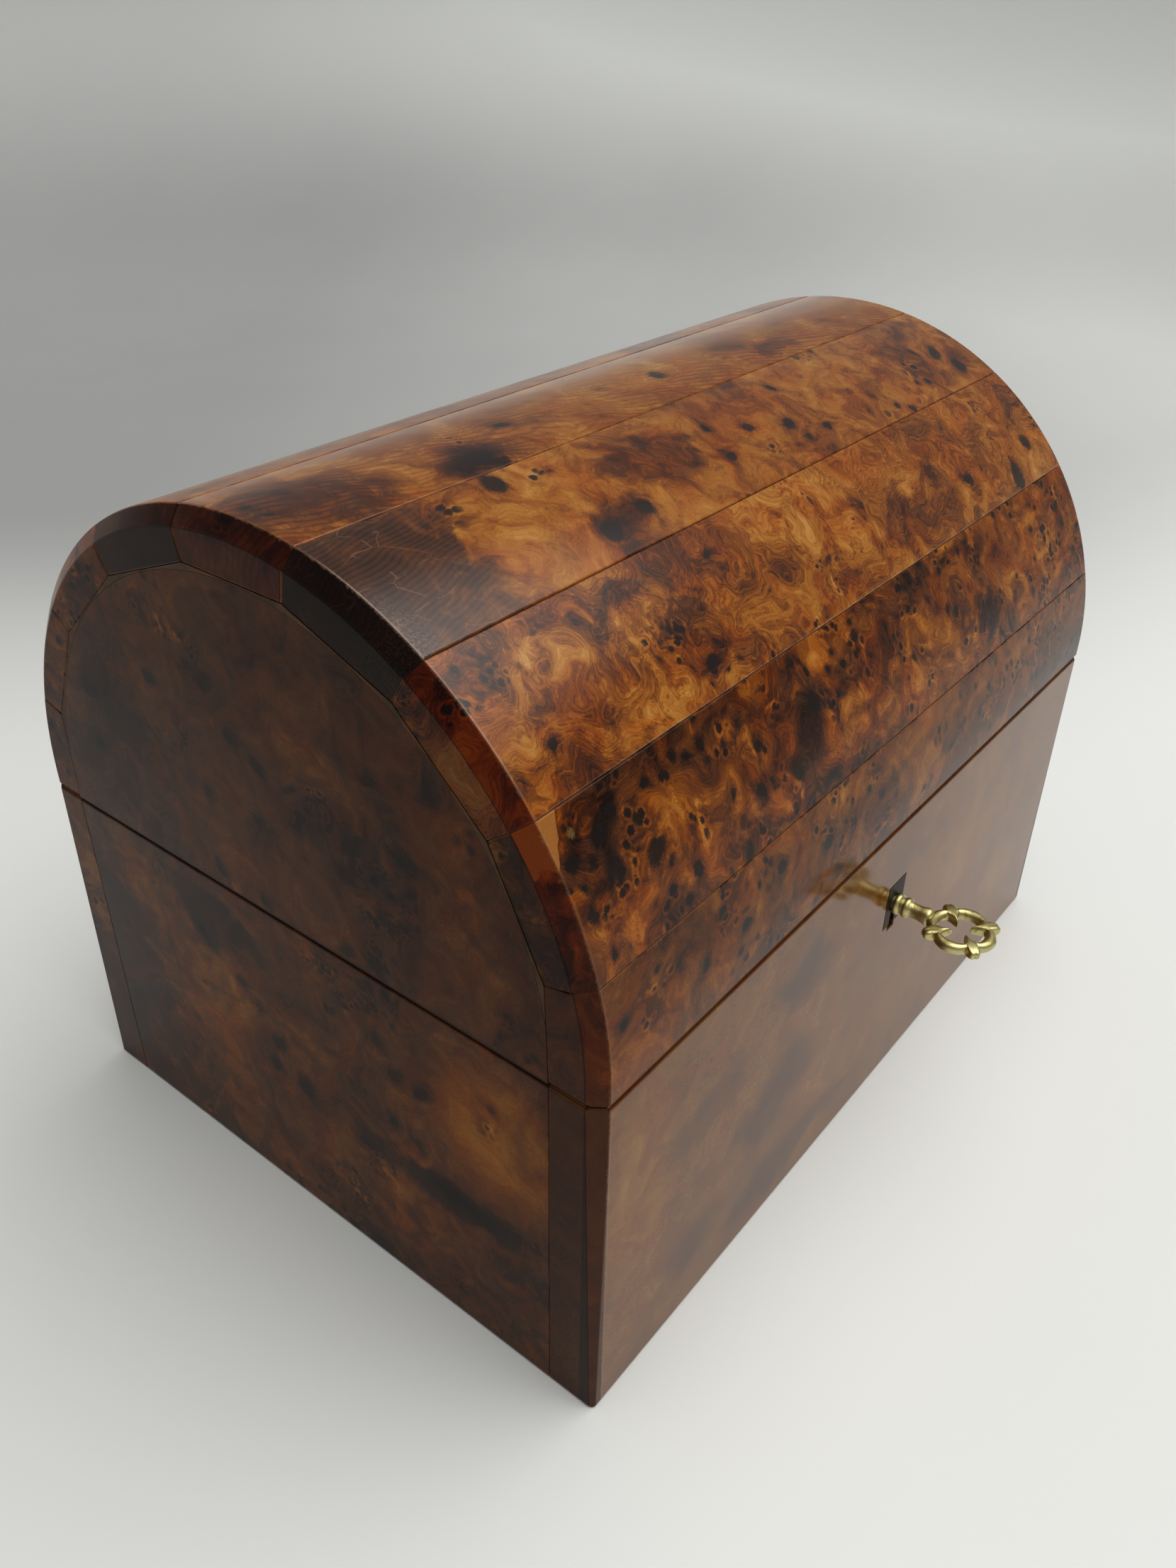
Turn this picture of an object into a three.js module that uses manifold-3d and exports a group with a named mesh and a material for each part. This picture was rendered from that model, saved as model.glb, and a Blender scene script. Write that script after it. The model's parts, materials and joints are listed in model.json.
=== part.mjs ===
// A small treasure box of polished burl wood: a coopered barrel lid hinged at the back,
// and a brass box lock with its key standing in the front board.
// Millimetres. Origin on the table under the middle of the box, +Z up, the key on the -Y side.

import * as THREE from 'three';
import { mergeVertices } from 'three/addons/utils/BufferGeometryUtils.js';
import Module from 'manifold-3d';

const wasm = await Module();
wasm.setup();

// Driving dimensions of the carcass
const length = 200; // over the two end faces
const width = 148; // over the front and back faces
const baseHeight = 79; // table to the rim of the base
const wallThickness = 10.5; // front and back boards, and the foot of the lid's two rails
const endThickness = 10.5; // end boards of base and lid
const bottomThickness = 6;
const bottomRebate = 4; // how far the bottom board is let into the four walls
const edgeEase = 0.6; // sanded outer edges at the table and at the seam
const rimGap = 0.3; // the fine seam between base and lid
const glueLine = 0.05; // open line left between glued faces that aren't square to the box

// Driving dimensions of the lid
const lidFoot = 3; // upright part of the lid below the centre of its arch
const staveCount = 7; // staves between the front rail and the back rail
const staveAngle = 21.3; // degrees of arch that one stave covers
const staveThickness = 10; // at the middle of a stave's flat inner face
const archChamferAlong = 2.5; // chamfer on the arch's end arris, along the box
const archChamferDown = 3.2; // and down the end face
const footChamferShare = 0.3; // what the chamfer on the corners shrinks to at the table
const panelClearance = 0.3; // lid end panel to the middle of each stave
const fillerDepth = 4; // wood filler round the arch of the end panel
const fillerPast = 6; // degrees that the filler runs on past the last stave joint
const archSteps = 72; // facets round the half circle

// Driving dimensions of the two butt hinges
const hingeSpread = 55; // middle of a hinge from the middle of the box
const hingeLength = 25;
const hingeLeafWidth = 8.3; // inner edge of a leaf to the axis of the pin
const hingeLeafThickness = 1.2;
const knuckleRadius = 1.6;
const hingePinRadius = 0.8;
const knuckleCount = 3;
const knuckleGap = 0.3; // between neighbouring knuckles
const hingeBevel = 2.2; // bevel on both back edges, which meet and stop the lid
const stopAngle = 100; // degrees at which the two bevels would meet
const hingeScrewPitch = 8;
const screwLength = 7.5;
const screwRadius = 0.9;
const screwHeadRadius = 1.8;
const screwTipShare = 0.4; // blunt tip against the screw's own radius
const screwFit = 0.15; // hole round a screw
const metalFit = 0.2; // metal let into wood

// Driving dimensions of the lock
const lockOffset = 4; // the lock sits this far to the right of the middle
const keyDrop = 22; // rim of the base to the key's axis
const lockPlateWidth = 50;
const lockPlateThickness = 1.2;
const selvedgeThickness = 1.5; // top strip of the plate, in the rim of the base
const plateBesideCase = 4.2; // plate's edge to the side of the case
const caseBelowBit = 2.5; // tip of the bit, pointing down, to the foot of the case
const plateBelowCase = 3;
const caseDepth = 5.4; // over the case's front wall
const sheetThickness = 0.8; // sheet that the case is folded from
const lockScrewInset = 2.6; // plate's edge to a screw's axis
const lockScrewLength = 6;
const drillPinRadius = 0.85;
const slidePinRadius = 1;

// Driving dimensions of the bolt and what it locks
const boltThickness = 1.4;
const boltRise = 5; // key axis to the foot of the bolt
const boltBar = 5.5; // height of the bolt's bar
const boltThrow = 4; // rest to thrown
const boltBack = 2; // rest to drawn right back
const boltEnd = 1.6; // metal past the guide slot
const guideRise = 3.3; // foot of the bolt to the middle of the guide slot
const notchHalf = 4.6; // half of the bit's notch at its top
const notchSlope = 0.8; // what each side of the notch opens by at its mouth
const notchToSlot = 0.8;
const boltArmWidth = 2.5;
const fingerLength = 3.5;
const fingerHeight = 2.4;
const fingerGap = 0.7; // finger to staple at rest
const boltInCase = 0.55; // bolt drawn right back to the side of the case
const stapleThickness = 1.5;
const stapleWidth = 3.6;
const stapleOverBolt = 1.8; // top of the bolt's bar to the foot of a staple
const stapleWall = 0.8; // metal on each side of the eye
const stapleFoot = 1.6; // metal under the eye
const stapleShoulder = 0.6; // on each side of the tenon that is riveted through the strike plate
const eyeClearance = 0.5; // eye over and under a finger
const strikePlateShort = 5; // each end of the strike plate inside the lock plate's
const strikePlateThickness = 1.2;
const strikeScrewInset = 4; // strike plate's end to a screw's axis
const springThickness = 0.4;
const springSteps = 10; // straight pieces along the bowed spring
const runClear = 0.3; // clearance of every running part

// Driving dimensions of the key and its escutcheon
const escutcheonWidth = 7.6;
const escutcheonHeight = 11.4;
const escutcheonThickness = 1.5;
const inlayFit = 0.08;
const shankRadius = 1.8;
const bitLength = 6.5; // key axis to the tip of the bit
const bitThickness = 1.6;
const bitWidth = 3.4;
const bitInset = 0.4; // end of the shank to the bit
const barrelDepth = 4; // how far the shank is drilled for the drill pin
const bowCentre = 15.4; // face of the box to the middle of the bow
const bowLobe = 7.5; // middle of the bow to the top of a lobe
const bowSpur = 8.15; // middle of the bow to the tip of a spur
const bowValley = 5.7; // middle of the bow to the foot of a spur
const bowInner = 5.4; // middle of the bow to the inside of a lobe
const bowCusp = 2.1; // middle of the bow to the point of an inner cusp
const bowThickness = 2;
const bowSpurAngle = 9; // degrees from the tip of a spur to its foot
const bowOuterFullness = 0.7; // powers that swell the lobes, outside and inside
const bowInnerFullness = 0.55;

// Turned part of the key outside the lock: radius, and distance out from the face of the box
const keyTurning = [
  [1.8, 0.3],
  [2.3, 0.5],
  [2.3, 1.5],
  [1.7, 1.9],
  [1.7, 2.4],
  [2.05, 2.8],
  [2.05, 3.5],
  [1.35, 4.1],
  [1.35, 6],
  [1.75, 8],
  [1.2, 9],
];

// Facets of round pieces
const roundSides = 20;
const boreSides = 16;
const screwSides = 12;
const bowSides = 10;
const bowSteps = 96;

// Places that follow from the driving dimensions
const archRadius = width / 2;
const rimZ = baseHeight;
const lidRimZ = rimZ + rimGap;
const seamZ = rimZ + rimGap / 2;
const archZ = rimZ + lidFoot;
const keyHeight = rimZ - keyDrop;
const railAngle = (staveAngle * staveCount) / 2;
const hingeInset = (hingeBevel + rimGap / 2) / Math.tan(THREE.MathUtils.degToRad(stopAngle / 2));
const hingeY = width / 2 - hingeInset;
const wallFace = width / 2 - wallThickness;
const halfLength = length / 2;
const endFace = halfLength - endThickness;
const past = 2; // how far a cutter reaches past what it cuts

// Colours and finishes
const finish = (color, roughness, metalness = 0) =>
  new THREE.MeshStandardMaterial({ color, roughness, metalness });
const burlFront = finish(0x7d5a40, 0.25);
const burlEnd = finish(0x4c3626, 0.3);
const plainWood = finish(0x8a6844, 0.6);
const fillerTan = finish(0xb07f43, 0.4);
const ebony = finish(0x201814, 0.3);
const brass = finish(0xb5a24a, 0.3, 1);
const steel = finish(0x8d9094, 0.4, 1);
const staveColours = [0x6d4327, 0xa36d32, 0x6e5034, 0x7d5533, 0x8c6239, 0x754c2c, 0x5f3a22];
const staveBurl = staveColours.map((colour) => finish(colour, 0.22));

// Solids: every closed geometry can become one, be joined or cut, and be turned back
function solidOf(geometry) {
  const bare = geometry.clone();
  bare.deleteAttribute('normal');
  bare.deleteAttribute('uv');
  const merged = mergeVertices(bare, 1e-5);
  const triVerts = new Uint32Array(merged.index.array);
  const vertProperties = new Float32Array(merged.attributes.position.array);
  return new wasm.Manifold(new wasm.Mesh({ numProp: 3, vertProperties, triVerts }));
}

function geometryOf(solid) {
  const mesh = solid.getMesh();
  const geometry = new THREE.BufferGeometry();
  geometry.setAttribute('position', new THREE.BufferAttribute(mesh.vertProperties, 3));
  geometry.setIndex(new THREE.BufferAttribute(mesh.triVerts, 1));
  geometry.computeVertexNormals();
  return geometry;
}

const cut = (solid, ...cutters) => cutters.flat().reduce((left, cutter) => left.subtract(cutter), solid);
const join = (solid, ...others) => others.flat().reduce((whole, other) => whole.add(other), solid);

function block(x0, x1, y0, y1, z0, z1) {
  const geometry = new THREE.BoxGeometry(x1 - x0, y1 - y0, z1 - z0);
  return solidOf(geometry.translate((x0 + x1) / 2, (y0 + y1) / 2, (z0 + z1) / 2));
}

// A block given by its middle in X and its full length there
const centredBlock = (x, span, y0, y1, z0, z1) => block(x - span / 2, x + span / 2, y0, y1, z0, z1);

const outline = (points) => new THREE.Shape(points.map(([u, v]) => new THREE.Vector2(u, v)));

const extrude = (shape, depth, bevel = {}) =>
  new THREE.ExtrudeGeometry(shape, { depth, bevelEnabled: false, steps: 1, curveSegments: 12, ...bevel });

// Outline drawn in (Y, Z) and drawn out along X
const alongX = new THREE.Matrix4().set(0, 0, 1, 0, 1, 0, 0, 0, 0, 1, 0, 0, 0, 0, 0, 1);
const prismX = (points, x0, x1) =>
  solidOf(extrude(outline(points), x1 - x0).applyMatrix4(alongX).translate(x0, 0, 0));

// Outline drawn in (X, Z) and drawn out along Y
const prismY = (shape, y0, y1) =>
  solidOf(extrude(shape, y1 - y0).rotateX(Math.PI / 2).translate(0, y1, 0));

function rodX(radius, x0, x1, y, z, sides = roundSides) {
  const geometry = new THREE.CylinderGeometry(radius, radius, x1 - x0, sides);
  return solidOf(geometry.rotateZ(Math.PI / 2).translate((x0 + x1) / 2, y, z));
}

function rodY(radius, y0, y1, x, z, sides = boreSides) {
  const geometry = new THREE.CylinderGeometry(radius, radius, y1 - y0, sides);
  return solidOf(geometry.translate(x, (y0 + y1) / 2, z));
}

// Turned piece standing on its axis, from points of radius and height
const turned = (points, sides) =>
  new THREE.LatheGeometry(points.map(([r, h]) => new THREE.Vector2(r, h)), sides);

// Countersunk screw with its head's face at the given point, driven along a direction
function screw(at, direction, grow = 0, reach = screwLength) {
  const slope = screwHeadRadius - screwRadius;
  const profile = [
    [0, -reach - grow],
    [screwRadius * screwTipShare + grow, -reach - grow],
    [screwRadius + grow, -reach + screwRadius - grow],
    [screwRadius + grow, -slope - grow],
    [screwHeadRadius + grow, -grow],
    [screwHeadRadius + grow, grow],
    [0, grow],
  ];
  const geometry = turned(profile, screwSides);
  const turn = new THREE.Quaternion().setFromUnitVectors(new THREE.Vector3(0, -1, 0), direction);
  geometry.applyQuaternion(turn);
  return solidOf(geometry.translate(at.x, at.y, at.z));
}

const screwHole = (at, direction, reach) => screw(at, direction, screwFit, reach);

// Block over the whole plan of the box with its edges eased at the top and at the foot
function easedBox(z0, z1) {
  const plan = outline([
    [-halfLength, -width / 2],
    [halfLength, -width / 2],
    [halfLength, width / 2],
    [-halfLength, width / 2],
  ]);
  const bevel = {
    bevelEnabled: true,
    bevelSegments: 1,
    bevelSize: edgeEase,
    bevelOffset: -edgeEase,
    bevelThickness: edgeEase,
  };
  return solidOf(extrude(plan, z1 - z0 - 2 * edgeEase, bevel).translate(0, 0, z0 + edgeEase));
}

// The upright corners carry the arch's chamfer on down, and it dies away towards the table.
// The wedge's slanted side crosses the corner at the chamfer's two sizes.
function cornerCutter(sideX, sideY) {
  const a = archChamferAlong;
  const d = archChamferDown;
  const plan = outline([
    [2 * a, -d],
    [-a, 2 * d],
    [-3 * a, 2 * d],
    [-3 * a, -d],
  ]);
  const wedge = extrude(plan, rimZ);
  const corners = wedge.attributes.position;
  for (let i = 0; i < corners.count; i += 1) {
    const share = THREE.MathUtils.lerp(footChamferShare, 1, corners.getZ(i) / rimZ);
    corners.setXY(i, corners.getX(i) * share, corners.getY(i) * share);
  }
  const inward = solidOf(wedge).scale([-sideX, -sideY, 1]);
  return inward.translate([sideX * halfLength, (sideY * width) / 2, 0]);
}

// Groove that the two bevels of the back edge make
function backBevel() {
  const reach = hingeBevel + past;
  return prismX(
    [
      [width / 2 - hingeBevel - rimGap / 2, seamZ],
      [width / 2 + past, seamZ - reach - rimGap / 2],
      [width / 2 + past, seamZ + reach + rimGap / 2],
    ],
    -halfLength - past,
    halfLength + past,
  );
}

// Hinges: pin axis along X at the seam, base leaf below it and lid leaf above it
const hingePlaces = [-hingeSpread, hingeSpread];
const leafInnerY = hingeY - hingeLeafWidth;
const leafScrewY = (leafInnerY + hingeY - knuckleRadius) / 2;
const knucklePitch = (hingeLength + knuckleGap) / knuckleCount;
const screwSteps = [-1, 0, 1];

const knuckleStart = (x, index) => x - hingeLength / 2 + index * knucklePitch;
const leafScrewWay = (side) => new THREE.Vector3(0, 0, side);

function hingeLeaf(x, side) {
  const face = seamZ + side * (rimGap / 2 + inlayFit);
  const back = face + side * hingeLeafThickness;
  const [low, high] = [Math.min(face, back), Math.max(face, back)];
  const plate = centredBlock(x, hingeLength, leafInnerY, hingeY, low, high);
  const clearRoll = rodX(knuckleRadius + runClear, x - hingeLength, x + hingeLength, hingeY, seamZ);
  let leaf = cut(plate, clearRoll);
  for (let index = 0; index < knuckleCount; index += 1) {
    const mine = (index % 2 === 0) === (side < 0);
    if (mine) {
      const x0 = knuckleStart(x, index);
      const x1 = x0 + knucklePitch - knuckleGap;
      const web = block(x0, x1, hingeY - knuckleRadius - 2 * runClear, hingeY, low, high);
      leaf = join(leaf, rodX(knuckleRadius, x0, x1, hingeY, seamZ), web);
    }
  }
  const boreRadius = hingePinRadius + runClear / 2;
  const bore = rodX(boreRadius, x - hingeLength, x + hingeLength, hingeY, seamZ, boreSides);
  const holes = leafScrewPoints(x, side).map((at) => screwHole(at, leafScrewWay(side)));
  return cut(leaf, bore, holes);
}

function leafScrewPoints(x, side) {
  const z = seamZ + side * (rimGap / 2 + inlayFit);
  return screwSteps.map((step) => new THREE.Vector3(x + step * hingeScrewPitch, leafScrewY, z));
}

function hingeMortise(x, side) {
  const reach = hingeLeafThickness + inlayFit + metalFit + rimGap / 2;
  const z = seamZ + side * reach;
  const span = hingeLength + 2 * metalFit;
  const [low, high] = [Math.min(z, seamZ), Math.max(z, seamZ)];
  const bed = centredBlock(x, span, leafInnerY - metalFit, hingeY, low, high);
  const roll = rodX(knuckleRadius + runClear, x - span / 2, x + span / 2, hingeY, seamZ);
  const holes = leafScrewPoints(x, side).map((at) => screwHole(at, leafScrewWay(side)));
  return [bed, roll, ...holes];
}

function hingePin(x) {
  const half = hingeLength / 2;
  return rodX(hingePinRadius, x - half, x + half, hingeY, seamZ, boreSides);
}

// Lock: plate flush with the front board's inner face, case behind it in a mortise
const lockFace = -wallFace;
const plateFront = lockFace - lockPlateThickness;
const caseFront = plateFront - caseDepth;
const caseTop = rimZ - selvedgeThickness - inlayFit;
const caseFoot = keyHeight - bitLength - caseBelowBit;
const plateFoot = caseFoot - plateBelowCase;
const boltMiddleY = (plateFront + caseFront + sheetThickness) / 2;
const caseHalfWidth = lockPlateWidth / 2 - plateBesideCase;
const armToStaple = boltArmWidth + fingerLength + fingerGap + stapleThickness / 2;
const stapleSpread = caseHalfWidth - sheetThickness - boltInCase - boltBack - armToStaple;
const staplePlaces = [lockOffset - stapleSpread, lockOffset + stapleSpread];
const boltFoot = keyHeight + boltRise;
const boltTop = boltFoot + boltBar;
const stapleFootZ = boltTop + stapleOverBolt;
const fingerZ = stapleFootZ + stapleFoot + eyeClearance + fingerHeight / 2;
const notchX = lockOffset - boltThrow / 2;
const slotStart = notchX + notchHalf + notchToSlot;
const slotEnd = slotStart + boltThrow + boltBack + 2 * (slidePinRadius + runClear);
const slidePinX = slotStart + boltThrow + slidePinRadius + runClear;
const slidePinZ = boltFoot + guideRise;

const lockScrewPoints = [-1, 1].flatMap((side) => {
  const x = lockOffset + side * (lockPlateWidth / 2 - lockScrewInset);
  const low = plateFoot + lockScrewInset;
  const high = rimZ - selvedgeThickness - 2 * lockScrewInset;
  return [low, high].map((z) => new THREE.Vector3(x, lockFace, z));
});
const intoFront = new THREE.Vector3(0, -1, 0);

function keyholeShape(clearance) {
  const radius = shankRadius + clearance;
  const slot = bitThickness / 2 + clearance;
  const foot = -bitLength - clearance;
  const halfGap = Math.asin(slot / radius);
  const shape = new THREE.Shape();
  shape.absarc(0, 0, radius, -Math.PI / 2 + halfGap, (3 * Math.PI) / 2 - halfGap, false);
  shape.lineTo(-slot, foot);
  shape.lineTo(slot, foot);
  shape.closePath();
  return shape;
}

const keyhole = (y0, y1, clearance) =>
  prismY(keyholeShape(clearance), y0, y1).translate([lockOffset, 0, keyHeight]);

function stapleSlots(clearance) {
  return staplePlaces.map((x) =>
    centredBlock(
      x,
      stapleThickness + 2 * clearance,
      boltMiddleY - stapleWidth / 2 - clearance - runClear,
      boltMiddleY + stapleWidth / 2 + clearance,
      stapleFootZ - clearance,
      rimZ + past,
    ),
  );
}

function lockPlate() {
  const plate = centredBlock(lockOffset, lockPlateWidth, plateFront, lockFace, plateFoot, rimZ);
  const selvedgeFoot = rimZ - selvedgeThickness;
  const selvedge = centredBlock(lockOffset, lockPlateWidth, caseFront, lockFace, selvedgeFoot, rimZ);
  const [y0, y1] = [plateFront - past, lockFace + past];
  const pinHole = rodY(drillPinRadius + inlayFit, y0, y1, lockOffset, keyHeight);
  const studHole = rodY(slidePinRadius + inlayFit, y0, y1, slidePinX, slidePinZ);
  const holes = lockScrewPoints.map((at) => screwHole(at, intoFront, lockScrewLength));
  return cut(join(plate, selvedge), stapleSlots(runClear), pinHole, studHole, holes);
}

function lockCase() {
  const outerSpan = 2 * caseHalfWidth;
  const shell = centredBlock(lockOffset, outerSpan, caseFront, plateFront - inlayFit, caseFoot, caseTop);
  const innerSpan = outerSpan - 2 * sheetThickness;
  const room = centredBlock(
    lockOffset,
    innerSpan,
    caseFront + sheetThickness,
    plateFront + past,
    caseFoot + sheetThickness,
    caseTop + past,
  );
  return cut(shell, room, keyhole(caseFront - past, caseFront + past, runClear));
}

// Post that the drilled key turns on, and stud that guides the bolt
function drillPin() {
  const end = plateFront - (barrelDepth - 2 * runClear);
  return rodY(drillPinRadius, end, lockFace, lockOffset, keyHeight);
}

function boltStud() {
  const end = caseFront + sheetThickness + runClear;
  return rodY(slidePinRadius, end, lockFace, slidePinX, slidePinZ);
}

// Bolt: a bar over the key with a notch for the bit, a slot for its guide stud and two fingers
const armLeft = staplePlaces.map((x) => x - armToStaple);

function bolt() {
  const y0 = boltMiddleY - boltThickness / 2;
  const y1 = boltMiddleY + boltThickness / 2;
  const [fingerFoot, fingerTop] = [fingerZ - fingerHeight / 2, fingerZ + fingerHeight / 2];
  const bar = block(armLeft[0], slotEnd + boltEnd, y0, y1, boltFoot, boltTop);
  const arms = armLeft.map((x) => block(x, x + boltArmWidth, y0, y1, boltFoot, fingerTop));
  const fingers = armLeft.map((x) =>
    block(x, x + boltArmWidth + fingerLength, y0, y1, fingerFoot, fingerTop),
  );
  const notchTop = keyHeight + bitLength + 2 * runClear;
  const notch = prismY(
    outline([
      [notchX - notchHalf - notchSlope, boltFoot - past],
      [notchX + notchHalf + notchSlope, boltFoot - past],
      [notchX + notchHalf, notchTop],
      [notchX - notchHalf, notchTop],
    ]),
    y0 - past,
    y1 + past,
  );
  const slotHalf = slidePinRadius + runClear;
  const slot = block(slotStart, slotEnd, y0 - past, y1 + past, slidePinZ - slotHalf, slidePinZ + slotHalf);
  return cut(join(bar, arms, fingers), notch, slot);
}

// Leaf spring riding on the bolt's bar and bowed up to the selvedge
function boltSpring() {
  const foot = boltTop;
  const right = armLeft[1] - runClear;
  const left = staplePlaces[0] + stapleThickness / 2 + boltBack + 2 * runClear;
  const rise = caseTop - runClear - foot;
  const curve = (offset) =>
    Array.from({ length: springSteps + 1 }, (_, i) => {
      const t = i / springSteps;
      return [right - (right - left) * t, foot + offset + (rise - springThickness) * t * t];
    });
  const strip = outline([...curve(0), ...curve(springThickness).reverse()]);
  return prismY(strip, boltMiddleY - boltThickness / 2, boltMiddleY + boltThickness / 2);
}

// Strike plate in the lid's rim, and the two staples riveted in it that hang into the lock
const strikeBack = -wallFace - metalFit;
const strikeFront = caseFront;
const strikeFace = lidRimZ + inlayFit;
const strikeTop = strikeFace + strikePlateThickness;
const strikeMiddleY = (strikeBack + strikeFront) / 2;
const strikePlateWidth = lockPlateWidth - 2 * strikePlateShort;
const strikeScrewSpread = strikePlateWidth / 2 - strikeScrewInset;
const strikeScrewPoints = [-1, 1].map(
  (side) => new THREE.Vector3(lockOffset + side * strikeScrewSpread, strikeMiddleY, strikeFace),
);
const upwards = new THREE.Vector3(0, 0, 1);

// Block on a staple's middle, over a width across the box's thickness
const stapleBlock = (x, thickness, acrossY, z0, z1) =>
  centredBlock(x, thickness, boltMiddleY - acrossY / 2, boltMiddleY + acrossY / 2, z0, z1);

function strikePlate() {
  const plate = centredBlock(
    lockOffset,
    strikePlateWidth,
    strikeFront,
    strikeBack,
    strikeFace,
    strikeTop,
  );
  const tenonHoles = staplePlaces.map((x) =>
    stapleBlock(
      x,
      stapleThickness + 2 * inlayFit,
      stapleWidth - 2 * (stapleShoulder - inlayFit),
      strikeFace - past,
      strikeTop + past,
    ),
  );
  return cut(plate, tenonHoles, strikeScrewPoints.map((at) => screwHole(at, upwards)));
}

function strikeStaple(x) {
  const shoulderZ = strikeFace - inlayFit;
  const tongue = stapleBlock(x, stapleThickness, stapleWidth, stapleFootZ, shoulderZ);
  const tenonWidth = stapleWidth - 2 * stapleShoulder;
  const tenon = stapleBlock(x, stapleThickness, tenonWidth, shoulderZ, strikeTop);
  const eye = stapleBlock(
    x,
    stapleThickness + 2 * past,
    stapleWidth - 2 * stapleWall,
    fingerZ - fingerHeight / 2 - eyeClearance,
    fingerZ + fingerHeight / 2 + eyeClearance,
  );
  return cut(join(tongue, tenon), eye);
}

// Base: four boards round a bottom that is let into a stopped rebate
const baseEnvelope = cut(
  easedBox(0, rimZ),
  [-1, 1].flatMap((sx) => [-1, 1].map((sy) => cornerCutter(sx, sy))),
  backBevel(),
);
const bottomSeat = centredBlock(
  0,
  2 * (endFace + bottomRebate),
  -wallFace - bottomRebate,
  wallFace + bottomRebate,
  -past,
  bottomThickness,
);
const baseBoard = (x0, x1, y0, y1) =>
  cut(baseEnvelope.intersect(block(x0, x1, y0, y1, -past, rimZ + past)), bottomSeat);

function frontBoard() {
  const board = baseBoard(-halfLength - past, halfLength + past, -width / 2 - past, -wallFace);
  const plateBed = centredBlock(
    lockOffset,
    lockPlateWidth + 2 * metalFit,
    plateFront - metalFit,
    lockFace + past,
    plateFoot - metalFit,
    rimZ + past,
  );
  const caseBed = centredBlock(
    lockOffset,
    2 * (caseHalfWidth + metalFit),
    caseFront - metalFit,
    lockFace + past,
    caseFoot - metalFit,
    rimZ + past,
  );
  const selvedgeBed = centredBlock(
    lockOffset,
    lockPlateWidth + 2 * metalFit,
    caseFront - metalFit,
    lockFace + past,
    rimZ - selvedgeThickness - metalFit,
    rimZ + past,
  );
  const inlayBed = centredBlock(
    lockOffset,
    escutcheonWidth,
    -width / 2 - past,
    -width / 2 + escutcheonThickness,
    keyHeight - escutcheonHeight / 2,
    keyHeight + escutcheonHeight / 2,
  );
  const hole = keyhole(-width / 2 - past, lockFace, 2 * runClear);
  const screws = lockScrewPoints.map((at) => screwHole(at, intoFront, lockScrewLength));
  return cut(board, plateBed, caseBed, selvedgeBed, inlayBed, hole, screws);
}

function backBoard() {
  const board = baseBoard(-halfLength - past, halfLength + past, wallFace, width / 2 + past);
  return cut(board, hingePlaces.flatMap((x) => hingeMortise(x, -1)));
}

// From one place along X to another, whichever side of the box they are on
const inOrder = (from, to) => [Math.min(from, to), Math.max(from, to)];

function endBoard(side) {
  const [x0, x1] = inOrder(side * endFace, side * (halfLength + past));
  return baseBoard(x0, x1, -wallFace, wallFace);
}

function bottomBoard() {
  const halfX = endFace + bottomRebate - metalFit;
  const halfY = wallFace + bottomRebate - metalFit;
  return block(-halfX, halfX, -halfY, halfY, 0, bottomThickness - metalFit);
}

// Escutcheon: a dark slip inlaid flush, pierced by the keyhole
function escutcheon() {
  const y0 = -width / 2;
  const slip = centredBlock(
    lockOffset,
    escutcheonWidth - 2 * inlayFit,
    y0,
    y0 + escutcheonThickness - inlayFit,
    keyHeight - escutcheonHeight / 2 + inlayFit,
    keyHeight + escutcheonHeight / 2 - inlayFit,
  );
  return cut(slip, keyhole(y0 - past, y0 + 2 * past, runClear));
}

// Lid, drawn about the centre line of its arch: angles run from the top towards the back
const rimBelow = lidRimZ - archZ;
const polar = (radius, degrees) => {
  const angle = THREE.MathUtils.degToRad(degrees);
  return [radius * Math.sin(angle), radius * Math.cos(angle)];
};
const vertexRadius = (flat) => flat / Math.cos(THREE.MathUtils.degToRad(staveAngle / 2));
const joints = Array.from({ length: staveCount + 1 }, (_, i) => -railAngle + i * staveAngle);
const staveInner = vertexRadius(archRadius - staveThickness);
const blankOuter = archRadius + 5 * past; // outer edge of a stave before it is shaped
const glueShare = THREE.MathUtils.radToDeg(glueLine / 2 / staveInner); // half a glue line in degrees

function archOutline(radius, foot) {
  const points = [];
  for (let i = 0; i <= archSteps; i += 1) {
    points.push(polar(radius, -90 + (180 * i) / archSteps));
  }
  return [[-radius, foot], ...points, [radius, foot]];
}

// The whole outside of the lid: the arch with its end chamfers, the eased rim and the back's bevel
function lidEnvelope() {
  const bevel = {
    bevelEnabled: true,
    bevelSegments: 1,
    bevelSize: archChamferDown,
    bevelOffset: -archChamferDown,
    bevelThickness: archChamferAlong,
  };
  const depth = length - 2 * archChamferAlong;
  const low = rimBelow - 2 * archChamferDown;
  const arch = extrude(outline(archOutline(archRadius, low)), depth, bevel);
  const solid = solidOf(arch.applyMatrix4(alongX).translate(-depth / 2, 0, 0));
  const rimEased = easedBox(lidRimZ, lidRimZ + 2 * archRadius).translate([0, 0, -archZ]);
  return cut(solid.intersect(rimEased), backBevel().translate([0, 0, -archZ]));
}

const envelope = lidEnvelope();

// Flat-sided hollow inside the staves, drawn in by a clearance where a piece fits in it
function hollowOutline(clearance) {
  const radius = vertexRadius(archRadius - staveThickness - clearance);
  const foot = wallFace - clearance;
  return [[-foot, rimBelow], ...joints.map((a) => polar(radius, a)), [foot, rimBelow]];
}

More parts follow.
